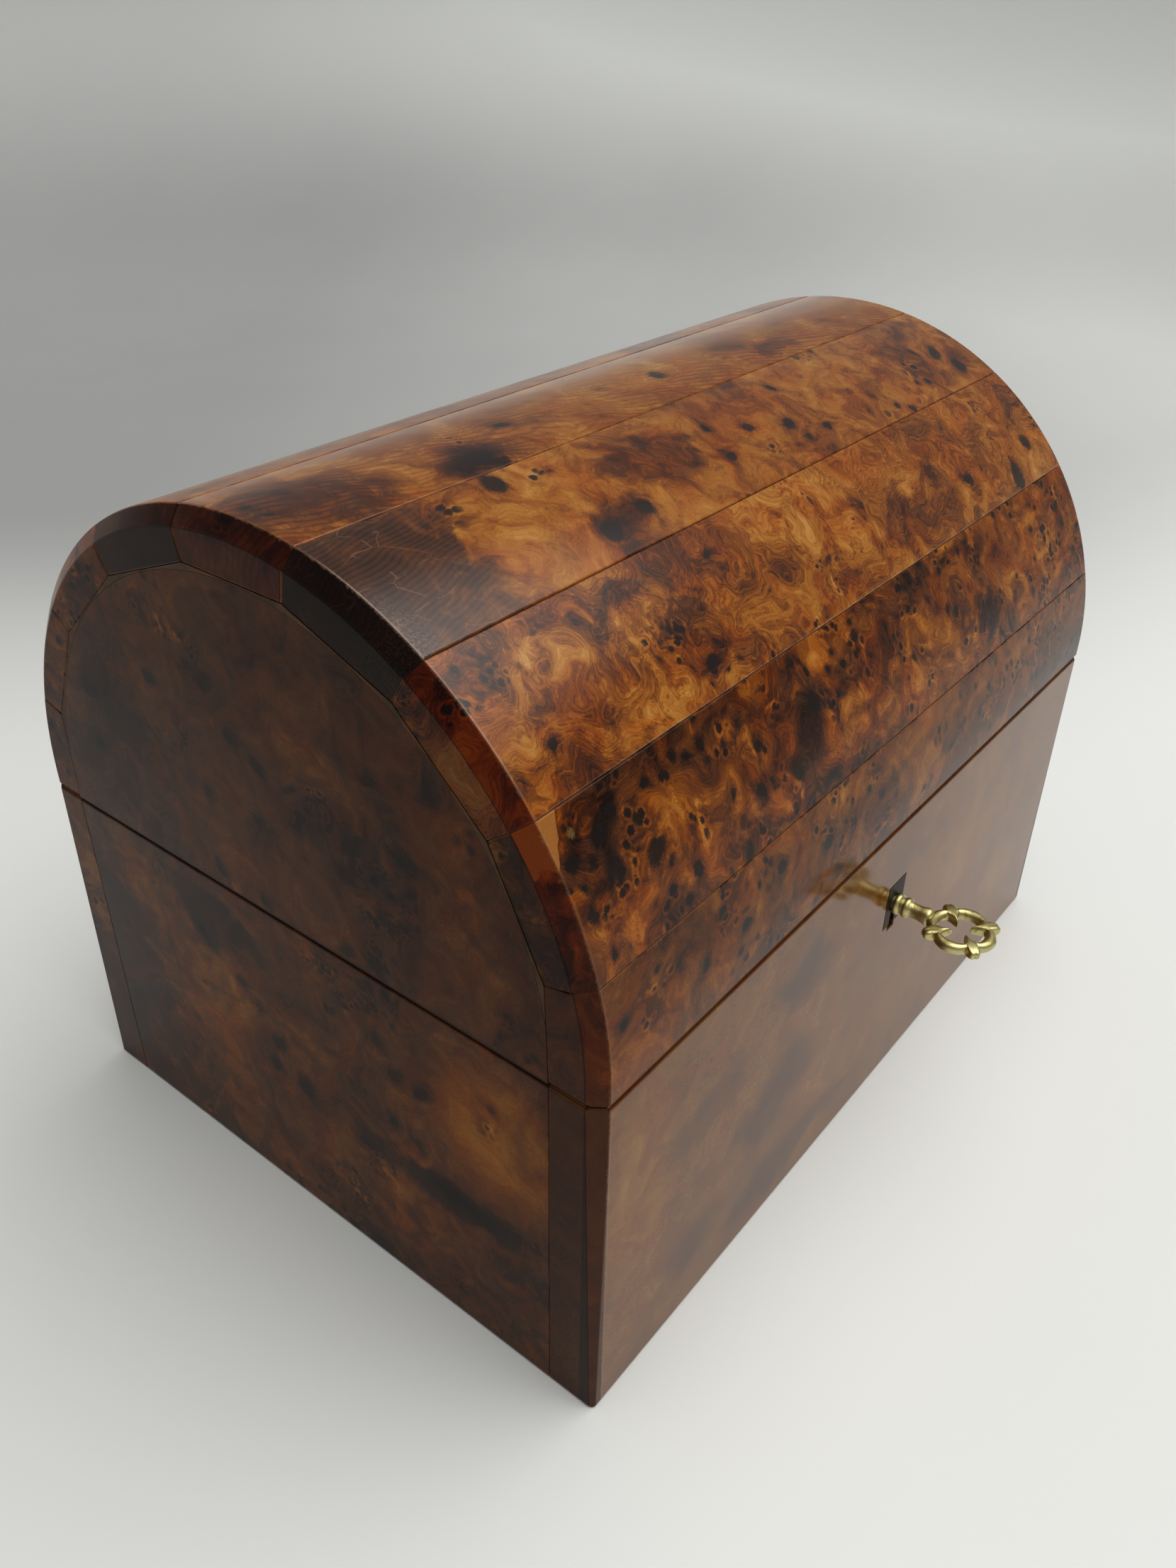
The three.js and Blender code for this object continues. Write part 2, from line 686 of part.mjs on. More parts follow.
// A stave is bounded by two joint planes and its flat inner face, and shaped outside by the arch
function stave(index) {
  const from = joints[index] + glueShare;
  const to = joints[index + 1] - glueShare;
  const section = [
    polar(staveInner, from),
    polar(blankOuter, from),
    polar(blankOuter, to),
    polar(staveInner, to),
  ];
  return envelope.intersect(prismX(section, -halfLength, halfLength));
}

// The lowest piece on each side: upright inside, and the arch's foot outside
function rail(side) {
  const edge = side * (railAngle + glueShare);
  const section = [
    [side * wallFace, rimBelow],
    [side * blankOuter, rimBelow],
    polar(blankOuter, edge),
    polar(staveInner, edge),
  ];
  const ordered = side > 0 ? section : section.reverse();
  return envelope.intersect(prismX(ordered, -halfLength, halfLength));
}

function frontRail() {
  const bed = centredBlock(
    lockOffset,
    strikePlateWidth + 2 * metalFit,
    strikeFront - metalFit,
    -wallFace + past,
    lidRimZ - past,
    strikeTop + metalFit,
  );
  const holes = strikeScrewPoints.map((at) => screwHole(at, upwards));
  const cutters = [bed, ...holes].map((cutter) => cutter.translate([0, 0, -archZ]));
  return cut(rail(-1), cutters);
}

function backRail() {
  const cutters = hingePlaces.flatMap((x) => hingeMortise(x, 1));
  return cut(rail(1), cutters.map((cutter) => cutter.translate([0, 0, -archZ])));
}

const panelRadius = archRadius - staveThickness - panelClearance;

// The end panel is a smooth arch, so it leaves small corners where two staves meet
function lidPanel(side) {
  const [x0, x1] = inOrder(side * endFace, side * halfLength);
  const arch = prismX(archOutline(panelRadius, rimBelow), x0, x1);
  const hollow = prismX(hollowOutline(glueLine), x0, x1);
  return arch.intersect(hollow);
}

// Wood filler round the panel: a hairline over each stave, a slim tan wedge in each corner
function lidFiller(side) {
  const [x0, x1] = inOrder(side * (halfLength - fillerDepth), side * halfLength);
  const hollow = prismX(hollowOutline(glueLine), x0, x1);
  const panel = prismX(archOutline(panelRadius + glueLine, rimBelow - past), x0 - past, x1 + past);
  const end = railAngle + fillerPast;
  const reach = 2 * archRadius;
  const sides = [[0, 0], polar(reach, -end), [-reach, reach], [reach, reach], polar(reach, end)];
  const sector = prismX(sides, x0, x1);
  return cut(hollow, panel).intersect(sector);
}

// Key, drawn standing on its axis: Z runs out of the lock, X lies across the bow
const barrelFoot = -(width / 2 + plateFront) + runClear;
const bitFoot = barrelFoot + bitInset;

// Four lobes with a spur between them outside and a cusp between them inside: a ring of round bar
// whose inner and outer radius follow the angle round the bow
function bow() {
  const ringRadius = 2;
  const barRadius = 1;
  const spurHalf = THREE.MathUtils.degToRad(bowSpurAngle);
  const ring = new THREE.TorusGeometry(ringRadius, barRadius, bowSides, bowSteps);
  const points = ring.attributes.position;
  for (let i = 0; i < points.count; i += 1) {
    const [x, y, z] = [points.getX(i), points.getY(i), points.getZ(i)];
    const angle = Math.atan2(y, x);
    const lobe = Math.abs(Math.cos(2 * angle));
    const offDiagonal = Math.abs((Math.abs(angle) % (Math.PI / 2)) - Math.PI / 4);
    const spur = Math.max(0, 1 - offDiagonal / spurHalf) * (bowSpur - bowValley);
    const outer = bowValley + (bowLobe - bowValley) * lobe ** bowOuterFullness + spur;
    const inner = bowCusp + (bowInner - bowCusp) * lobe ** bowInnerFullness;
    const across = (Math.hypot(x, y) - ringRadius + barRadius) / (2 * barRadius);
    const radius = inner + (outer - inner) * across;
    const height = (z / barRadius) * (bowThickness / 2);
    points.setXYZ(i, radius * Math.cos(angle), radius * Math.sin(angle), height);
  }
  return solidOf(ring.rotateX(Math.PI / 2).translate(0, 0, bowCentre));
}

function key() {
  const neckEnd = keyTurning[keyTurning.length - 1][1];
  const profile = [[0, barrelFoot], [shankRadius, barrelFoot], ...keyTurning, [0, neckEnd]];
  const stem = solidOf(turned(profile, roundSides).rotateX(Math.PI / 2));
  const [bitLow, bitHigh] = [-bitThickness / 2, bitThickness / 2];
  const bit = block(-bitLength, -shankRadius / 2, bitLow, bitHigh, bitFoot, bitFoot + bitWidth);
  const drilled = drillPinRadius + runClear;
  const bore = solidOf(
    new THREE.CylinderGeometry(drilled, drilled, barrelDepth + past, boreSides)
      .rotateX(Math.PI / 2)
      .translate(0, 0, barrelFoot + (barrelDepth - past) / 2),
  );
  return cut(join(stem, bit, bow()), bore);
}

// The object: base, lid and key, each piece under its own name
const box = new THREE.Group();
const lid = new THREE.Group();
lid.position.z = archZ;
const keyGroup = new THREE.Group();
keyGroup.position.set(lockOffset, -width / 2, keyHeight);
keyGroup.rotation.x = Math.PI / 2;
box.add(lid, keyGroup);

function place(group, name, solid, material) {
  const mesh = new THREE.Mesh(geometryOf(solid), material);
  mesh.name = name;
  group.add(mesh);
}

place(box, 'front_board', frontBoard(), burlFront);
place(box, 'back_board', backBoard(), burlFront);
place(box, 'left_end_board', endBoard(-1), burlEnd);
place(box, 'right_end_board', endBoard(1), burlEnd);
place(box, 'bottom_board', bottomBoard(), plainWood);

place(lid, 'lid_front_rail', frontRail(), burlFront);
for (let i = 0; i < staveCount; i += 1) {
  place(lid, `lid_stave_${i + 1}`, stave(i), staveBurl[i]);
}
place(lid, 'lid_back_rail', backRail(), burlFront);
place(lid, 'lid_left_end', lidPanel(-1), burlEnd);
place(lid, 'lid_right_end', lidPanel(1), burlEnd);
place(lid, 'lid_left_filler', lidFiller(-1), fillerTan);
place(lid, 'lid_right_filler', lidFiller(1), fillerTan);

const toLid = (solid) => solid.translate([0, 0, -archZ]);
const asDrawn = (solid) => solid;

function placeScrews(group, name, points, way, reach, toGroup) {
  points.forEach((at, i) => place(group, `${name}_${i + 1}`, toGroup(screw(at, way, 0, reach)), brass));
}

['left', 'right'].forEach((name, i) => {
  const x = hingePlaces[i];
  const [down, up] = [-1, 1];
  place(box, `hinge_${name}_base_leaf`, hingeLeaf(x, down), brass);
  place(lid, `hinge_${name}_lid_leaf`, toLid(hingeLeaf(x, up)), brass);
  place(box, `hinge_${name}_pin`, hingePin(x), steel);
  const below = leafScrewPoints(x, down);
  const above = leafScrewPoints(x, up);
  placeScrews(box, `hinge_${name}_base_screw`, below, leafScrewWay(down), screwLength, asDrawn);
  placeScrews(lid, `hinge_${name}_lid_screw`, above, leafScrewWay(up), screwLength, toLid);
});

place(box, 'escutcheon', escutcheon(), ebony);
place(box, 'lock_plate', lockPlate(), brass);
place(box, 'lock_case', lockCase(), steel);
place(box, 'drill_pin', drillPin(), steel);
place(box, 'bolt_stud', boltStud(), steel);
placeScrews(box, 'lock_screw', lockScrewPoints, intoFront, lockScrewLength, asDrawn);
place(box, 'lock_bolt', bolt(), steel);
place(box, 'bolt_spring', boltSpring(), steel);
place(lid, 'strike_plate', toLid(strikePlate()), brass);
['left', 'right'].forEach((name, i) => {
  place(lid, `strike_staple_${name}`, toLid(strikeStaple(staplePlaces[i])), brass);
});
placeScrews(lid, 'strike_screw', strikeScrewPoints, upwards, screwLength, toLid);
place(keyGroup, 'key', key(), brass);

export default box;
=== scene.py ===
# %% [markdown]
# # A small treasure box of burl wood
# The box is a plain rectangular base of four boards with a lid built like a barrel: staves glued
# side by side over arched end panels. It is cut from a burl, a growth full of small dark eyes and
# swirling grain, and polished to a high gloss. A brass key stands in the front.
# The CAD frame already has every piece in its right place and size. This lesson keeps it as it is
# and gives it the looks: rounder arrises, a finer arch, a finer key and all the finishes.

# %% Load the frame
import json
import math

import bmesh
import bpy
from mathutils import Euler, Matrix, Vector


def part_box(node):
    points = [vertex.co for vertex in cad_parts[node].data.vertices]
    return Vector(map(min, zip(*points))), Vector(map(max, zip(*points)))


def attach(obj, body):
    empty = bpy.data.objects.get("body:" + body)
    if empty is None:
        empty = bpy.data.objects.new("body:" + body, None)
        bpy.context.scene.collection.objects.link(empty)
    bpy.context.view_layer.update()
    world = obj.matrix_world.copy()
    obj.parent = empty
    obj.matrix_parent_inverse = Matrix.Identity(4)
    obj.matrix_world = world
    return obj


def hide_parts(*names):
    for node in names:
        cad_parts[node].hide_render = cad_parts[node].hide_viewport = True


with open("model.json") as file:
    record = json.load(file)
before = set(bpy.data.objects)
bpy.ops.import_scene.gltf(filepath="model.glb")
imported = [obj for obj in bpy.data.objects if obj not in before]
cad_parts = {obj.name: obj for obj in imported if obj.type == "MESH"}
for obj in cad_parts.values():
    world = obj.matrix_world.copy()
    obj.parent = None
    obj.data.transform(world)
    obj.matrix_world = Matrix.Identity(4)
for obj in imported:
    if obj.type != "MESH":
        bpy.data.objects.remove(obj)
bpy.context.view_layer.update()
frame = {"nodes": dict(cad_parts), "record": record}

# %% [markdown]
# ## Sizes taken from the frame
# The scene is in metres, but a box maker thinks in millimetres, so MM turns one into the other.
# The outside of the box, the seam and the middle of the arch are read from the CAD nodes. If the
# part is made a little longer or higher one day, the looks follow. The chamfer and the angle of a
# stave can't be read from the corners of a node, so they are written here once more, and with them
# the gap of the seam.

# %% Read the driving sizes
MM = 0.001


def box_mm(node):
    """Lowest and highest corner of a CAD node in millimetres"""
    low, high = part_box(node)
    return Vector(low) / MM, Vector(high) / MM


base_low, base_high = box_mm("front_board")
HALF_LENGTH = base_high.x
FRONT = base_low.y
RIM = base_high.z
SEAM_GAP = 0.3
ARCH_RADIUS = -FRONT
ARCH_Z = box_mm("lid_stave_4")[1].z - ARCH_RADIUS
CHAMFER_ALONG = 2.5
CHAMFER_DOWN = 3.2
STAVE_ANGLE = 21.3
STAVE_COUNT = 7
RAIL_ANGLE = STAVE_ANGLE * STAVE_COUNT / 2
print("half length", round(HALF_LENGTH, 2), "front", FRONT, "rim", RIM, "arch centre", ARCH_Z)

# %% [markdown]
# ## Camera
# The photograph was taken by hand from the front left and from above, with the lens of a phone
# held close. Its place and its turn were worked out from the corners of the box, so they are
# plain values here. A close, wide lens is what makes the near corner look so large.

# %% Set up the camera
CAMERA_PLACE = (-206.52, -153.36, 226.65)
CAMERA_TURN = (56.824, -0.799, -51.573)
CAMERA_LENS = 28.93

camera_data = bpy.data.cameras.new("photo_camera")
camera_data.lens = CAMERA_LENS
camera_data.clip_start = 10 * MM
camera = bpy.data.objects.new("photo_camera", camera_data)
camera.location = Vector(CAMERA_PLACE) * MM
camera.rotation_euler = Euler([math.radians(turn) for turn in CAMERA_TURN])
bpy.context.scene.collection.objects.link(camera)
bpy.context.scene.camera = camera
print("camera at", CAMERA_PLACE, "mm with a lens of", CAMERA_LENS, "mm")

# %% [markdown]
# ## Shader sums written as Python
# A material is a tree of nodes. Written out one by one it is hard to read, so the small class Wire
# wraps a node's output and lets Python's own operators add the Math nodes: 1 - mask works.
# Every other node comes from Finish.node, which takes its type, its settings and its sockets. The
# light of a room is such a tree too, so a Finish can be a world as well as a material.

# %% A wire


class Wire:
    """One output of a node in a finish, which Python's operators can work with"""

    def __init__(self, finish, socket):
        self.finish = finish
        self.socket = socket

    def maths(self, operation, *terms):
        return self.finish.node("ShaderNodeMath", {"operation": operation}, dict(enumerate(terms)))

    def __add__(self, other):
        return self.maths("ADD", self, other)

    def __sub__(self, other):
        return self.maths("SUBTRACT", self, other)

    def __rsub__(self, other):
        return self.maths("SUBTRACT", other, self)

    def __mul__(self, other):
        return self.maths("MULTIPLY", self, other)

    def __truediv__(self, other):
        return self.maths("DIVIDE", self, other)

    __radd__ = __add__
    __rmul__ = __mul__

    def __neg__(self):
        return self.maths("MULTIPLY", self, -1.0)

    def __abs__(self):
        return self.maths("ABSOLUTE", self)

    def least(self, other):
        return self.maths("MINIMUM", self, other)

    def most(self, other):
        return self.maths("MAXIMUM", self, other)

    def sine(self):
        return self.maths("SINE", self)

    def root(self):
        return self.maths("SQRT", self)

    def fraction(self):
        return self.maths("FRACT", self)

    def angle_over(self, other):
        """Angle in radians whose tangent is this wire over the other"""
        return self.maths("ARCTAN2", self, other)


def diagonal(first, second):
    """Distance to a point that lies first to one side and second to the other"""
    return (first * first + second * second).root()


print("sums of a wire:", [name for name in vars(Wire) if not name.startswith("_")])

# %% A finish


class Finish:
    """A material, or a world, under construction"""

    def __init__(self, name, home="materials"):
        self.made = getattr(bpy.data, home).new(name)
        self.made.use_nodes = True
        self.tree = self.made.node_tree
        self.tree.nodes.clear()

    def node(self, kind, settings, sockets, output=0):
        node = self.tree.nodes.new(kind)
        for name, value in settings.items():
            if name == "stops":
                while len(node.color_ramp.elements) < len(value):
                    node.color_ramp.elements.new(1.0)
                for element, (position, colour) in zip(node.color_ramp.elements, value):
                    element.position = position
                    element.color = (*colour, 1.0)
            else:
                setattr(node, name, value)
        for name, value in sockets.items():
            if isinstance(value, Wire):
                self.tree.links.new(value.socket, node.inputs[name])
            else:
                node.inputs[name].default_value = value
        return Wire(self, node.outputs[output]) if node.outputs else None

    def vector(self, operation, *terms, output=0):
        sockets = dict(enumerate(terms))
        return self.node("ShaderNodeVectorMath", {"operation": operation}, sockets, output)

    def place(self):
        """Object coordinates in millimetres"""
        at = self.node("ShaderNodeTexCoord", {}, {}, "Object")
        return self.vector("MULTIPLY", at, (1 / MM,) * 3)

    def axes(self, at):
        return [self.node("ShaderNodeSeparateXYZ", {}, {0: at}, axis) for axis in range(3)]

    def noise(self, at, size, detail=2.0, rough=0.5, output=0):
        sockets = {"Vector": at, "Scale": 1 / size, "Detail": detail, "Roughness": rough}
        return self.node("ShaderNodeTexNoise", {}, sockets, output)

    def cells(self, at, size, feature="F1"):
        sockets = {"Vector": at, "Scale": 1 / size}
        return self.node("ShaderNodeTexVoronoi", {"feature": feature}, sockets, "Distance")

    def ease(self, value, start, end):
        """0 before start and 1 after end, smoothly; start may be the larger one"""
        low, high = sorted((start, end))
        first, last = (0.0, 1.0) if start < end else (1.0, 0.0)
        sockets = {0: value, 1: low, 2: high, 3: first, 4: last}
        return self.node("ShaderNodeMapRange", {"interpolation_type": "SMOOTHSTEP"}, sockets)

    def ramp(self, value, stops):
        return self.node("ShaderNodeValToRGB", {"stops": stops}, {0: value})

    def blend(self, mask, under, over, way="MIX"):
        """The colour under, covered by the colour over as far as the mask says"""
        colours = [(*c, 1.0) if isinstance(c, tuple) else c for c in (under, over)]
        settings = {"data_type": "RGBA", "blend_type": way}
        return self.node("ShaderNodeMix", settings, {0: mask, 6: colours[0], 7: colours[1]}, 2)

    def surface(self, constants, bump=None, **varying):
        """Ends the finish with the shader itself; bump is a height and how deep it is in mm"""
        if bump is not None:
            height, depth = bump
            sockets = {"Height": height, "Distance": depth * MM, "Strength": 1.0}
            varying["Normal"] = self.node("ShaderNodeBump", {}, sockets)
        sockets = dict(constants)
        sockets.update({name.replace("_", " "): value for name, value in varying.items()})
        shader = self.node("ShaderNodeBsdfPrincipled", {}, sockets)
        self.node("ShaderNodeOutputMaterial", {}, {0: shader})
        return self.made


print("steps of a finish:", [name for name in vars(Finish) if not name.startswith("_")])

# %% [markdown]
# ## Burl wood
# Burl has no straight grain. Its colour drifts in clouds from pale gold through orange and
# red-brown to nearly black. The fibre runs round those clouds like the lines on a map, and buds
# that never grew out show as small black eyes, in groups like the pads of a paw. All of it is a
# solid pattern in space, so it runs on over an edge, as real wood does, and a chamfer shows the
# same figure cut at another angle.
# First come the patterns that everything else is mixed from. The figure and the finer curl are soft
# noise, bent by a drift so that they swirl. The fibre is a fine noise that is read at the value of
# the figure, not at a place: that is what makes it follow the clouds.

# %% Patterns in the wood
DRIFT_SIZE = 15.0
FIGURE_SIZE = 21.0
CURL_SIZE = 5.2
SPECKLE_SIZE = 0.38
# How far in mm the drift bends the figure, and how far it shifts what is placed by hand
FIGURE_BEND = 24.0
PLACE_BEND = 6.0
# Steps of fibre that lie across the whole range of the figure and of the curl
FIBRE_BY_FIGURE = 100.0
FIBRE_BY_CURL = 11.0
# How far in mm one seed lies from the next
SEED_STEP = (47.0, 83.0, 29.0)


class Burl(Finish):
    """The finish of one piece of burl, with the patterns that its colour is mixed from"""

    def __init__(self, name, seed):
        super().__init__(name)
        at = self.place()
        self.x, self.y, self.z = self.axes(at)
        self.degrees = (-self.y).angle_over(self.z - ARCH_Z) * (180 / math.pi)
        self.reach = diagonal(self.y, (self.z - ARCH_Z).most(0.0))
        # Each piece reads the noise far from the others, so no two are alike
        self.own = self.vector("ADD", at, [seed * step for step in SEED_STEP])
        drift = self.noise(self.own, DRIFT_SIZE, 2.0, 0.5, "Color")
        self.drift = self.vector("SUBTRACT", drift, (0.5, 0.5, 0.5))
        self.wander = self.bent(self.own, FIGURE_BEND)
        self.waver = self.bent(at, PLACE_BEND)
        self.figure = self.noise(self.wander, FIGURE_SIZE, 1.6, 0.45)
        self.curl = self.noise(self.wander, CURL_SIZE, 2.6, 0.52)
        course = {0: self.figure * FIBRE_BY_FIGURE, 1: self.curl * FIBRE_BY_CURL, 2: self.z * 0.06}
        course = self.node("ShaderNodeCombineXYZ", {}, course)
        self.fibre = self.noise(course, 1.0, 3.0, 0.7)
        self.speckle = self.noise(self.own, SPECKLE_SIZE, 2.0)

    def bent(self, at, far):
        """A place, shifted by up to half of far in any direction"""
        return self.vector("MULTIPLY_ADD", self.drift, (far, far, far), at)


print("in mm: drift", DRIFT_SIZE, "figure", FIGURE_SIZE, "curl", CURL_SIZE)

# %% [markdown]
# The buds come in swarms, so a soft noise first says where there are any. In a swarm each large
# cell of a Voronoi pattern holds one group, and the small cells inside it are its eyes. A few lone
# eyes lie between the groups. Round a group the wood is darker, each eye has a bright rim, and
# bright flecks show where the fibre turns.

# %% Buds
SWARM_SIZE = 22.0
GROUP_SIZE = 9.0
DOT_SIZE = 2.5
LONE_SIZE = 4.8
BUD_BEND = 7.0


def buds(wood, eyes, bud):
    """How much there is of an eye, of the dark ring round it, of a bright rim and of a fleck"""
    speck = wood.speckle - 0.5
    shaken = wood.bent(wood.own, BUD_BEND)
    swarm = wood.noise(wood.own, SWARM_SIZE, 1.0)
    budding = wood.ease(swarm, 0.80 - 0.48 * eyes, 0.88 - 0.48 * eyes)
    groups = wood.cells(shaken, GROUP_SIZE * bud)
    dots = wood.cells(shaken, DOT_SIZE * bud) + speck * 0.25
    lone = wood.cells(shaken, LONE_SIZE * bud) + speck * 0.10 + (wood.curl - 0.5) * 0.25
    near_group = wood.ease(groups, 0.62, 0.30) * budding
    eye = wood.ease(dots, 0.42, 0.26) * wood.ease(groups, 0.46, 0.30) * budding
    eye = eye.most(wood.ease(lone, 0.24, 0.12) * budding)
    ring = near_group.most(wood.ease(lone, 0.42, 0.18) * budding)
    rim = wood.ease(dots, 0.66, 0.50) * wood.ease(groups, 0.52, 0.36) * budding * (1 - eye)
    fleck = wood.ease(wood.curl, 0.58, 0.66) * near_group
    return eye, ring, rim, fleck


print("in mm: swarm", SWARM_SIZE, "group", GROUP_SIZE, "eye", DOT_SIZE, "lone eye", LONE_SIZE)

# %% [markdown]
# The few large clouds and eyes that a visitor would remember are listed one by one, each as a soft
# ball in space. The figure, the curl and the speckle make their edges ragged, because a smooth
# edge would look sprayed on.

# %% Clouds and eyes placed one by one
# How far out, in shares of its own size, a mark ends and where it is full
CLOUD_EDGE = (1.25, 0.5)
EYE_EDGE = (1.15, 0.65)
RING_EDGE = (2.3, 0.9)


def clouded(wood, shade, contrast, clouds):
    """Adds the tone of each cloud to the shade"""
    ragged = (wood.curl - 0.5) * (0.9 * contrast) + (wood.figure - 0.5) * (1.8 * (1 - contrast))
    for place, half, change in clouds:
        away = wood.vector("DIVIDE", wood.vector("SUBTRACT", wood.waver, place), half)
        away = wood.vector("LENGTH", away, output=1) + ragged
        shade = shade + wood.ease(away, *CLOUD_EDGE) * change
    return shade


def spotted(wood, eye, ring, spots):
    """Adds the eyes of a list and their dark rings"""
    nearest = None
    for place, radius in spots:
        away = wood.vector("DISTANCE", wood.waver, place, output=1) / radius
        nearest = away if nearest is None else nearest.least(away)
    if nearest is None:
        return eye, ring
    uneven = nearest + (wood.curl - 0.5) * 1.3 + (wood.speckle - 0.5) * 0.6
    eye = eye.most(wood.ease(uneven, *EYE_EDGE))
    ring = ring.most(wood.ease(uneven, *RING_EDGE))
    return eye, ring


print("a placed eye's ring reaches", RING_EDGE[0], "times its radius")

# %% [markdown]
# Some things show only where the maker's tools have been. Between two staves there is a hair-fine
# line of glue. The chamfer is darker and redder than the skin of the arch, and its outer arris is
# painted pale, partly as wear and partly as a painted highlight. The seam under the lid is painted
# darker, which is painted shade. The faces inside the box aren't polished.

# %% Joints, chamfers, seam and inside
GLUE = (0.26, 0.13, 0.055)
JOINT_DARK = (0.05, 0.018, 0.008)
# Pale for the outer arris: partly wear, partly a painted highlight
ARRIS_WEAR_AND_HIGHLIGHT = (0.36, 0.22, 0.13)
# The last is painted shade for the seam under the lid
SEAM_SHADE = (0.20, 0.14, 0.12)
# More staves than lie below the rail all the way round, so that the count stays above zero
STAVES_BELOW = 40.0


def glued(wood, colour):
    """The joint planes all pass through the middle of the arch, so the glue lies wherever the
    angle round the arch is a whole number of staves from the rail"""
    staves = (wood.degrees + RAIL_ANGLE) / STAVE_ANGLE + STAVES_BELOW
    off = abs((staves + 0.5).fraction() - 0.5) * (math.radians(STAVE_ANGLE) * ARCH_RADIUS)
    on_lid = wood.ease(wood.z, ARCH_Z + 2, ARCH_Z + 4)
    tone = wood.blend(wood.ease(wood.curl, 0.38, 0.48), JOINT_DARK, GLUE)
    return wood.blend(wood.ease(off, 0.20, 0.06) * on_lid * 0.5, colour, tone)


def chamfered(wood, colour, tint):
    """Tints the chamfer, paints its outer arris pale as wear and a painted highlight, and also says
    where the chamfer is
    """
    out = abs(wood.x) - (HALF_LENGTH - CHAMFER_ALONG)
    foot = ARCH_RADIUS - CHAMFER_DOWN
    on_chamfer = wood.ease(out, -0.05, 0.12) * wood.ease(wood.reach, foot - 0.3, foot)
    colour = wood.blend(on_chamfer, colour, tint, "MULTIPLY")
    # The outer arris painted pale: partly wear, partly a painted highlight
    off_arris = diagonal(out, wood.reach - ARCH_RADIUS) + (wood.fibre - 0.5) * 1.6
    return wood.blend(wood.ease(off_arris, 0.4, 0.05) * 0.22, colour, ARRIS_WEAR_AND_HIGHLIGHT), on_chamfer


def seam_shaded(wood, colour):
    """Darkens the seam between base and lid with painted shade"""
    skin = (abs(wood.x) - HALF_LENGTH).most(abs(wood.y) - ARCH_RADIUS)
    in_seam = wood.ease(abs(wood.z - (RIM + SEAM_GAP / 2)), 0.8, 0.4) * wood.ease(skin, -0.5, -0.3)
    return wood.blend(in_seam * 0.85, colour, SEAM_SHADE, "MULTIPLY")


def inner_side(wood):
    """1 on the faces inside the box, 0 outside"""
    deep = wood.ease(wood.reach, ARCH_RADIUS - 4.5, ARCH_RADIUS - 5.5)
    return deep * wood.ease(abs(wood.x), HALF_LENGTH - 3, HALF_LENGTH - 4)


print("a stave is", round(math.radians(STAVE_ANGLE) * ARCH_RADIUS, 1), "mm wide")

# %% [markdown]
# Now one number, the shade, is summed up from the patterns and the clouds, and a ramp of seven
# tones turns it into wood. The polish is a coat over the wood, and the coat's weight carries the
# gloss of each piece. The wood below has a low index of refraction, because wood and coat with
# the usual one would mirror the room too strongly together.

# %% The burl finish
BURL_TONES = [
    (0.00, (0.012, 0.006, 0.004)),
    (0.20, (0.044, 0.017, 0.009)),
    (0.38, (0.108, 0.034, 0.010)),
    (0.55, (0.218, 0.067, 0.009)),
    (0.70, (0.330, 0.122, 0.016)),
    (0.86, (0.415, 0.185, 0.033)),
    (1.00, (0.470, 0.242, 0.068)),
]
EYE_BROWN = (0.014, 0.009, 0.007)
REDDISH = (0.92, 0.70, 0.50)
LINE_SPACING = 1.9
# Sizes in mm of the red patches and of the smears in the polish
RED_SIZE = 10.0
SMEAR_SIZE = 13.0
BUMP_DEPTH = 0.025
WOOD_IOR = 1.24
COAT_ROUGHNESS = 0.11


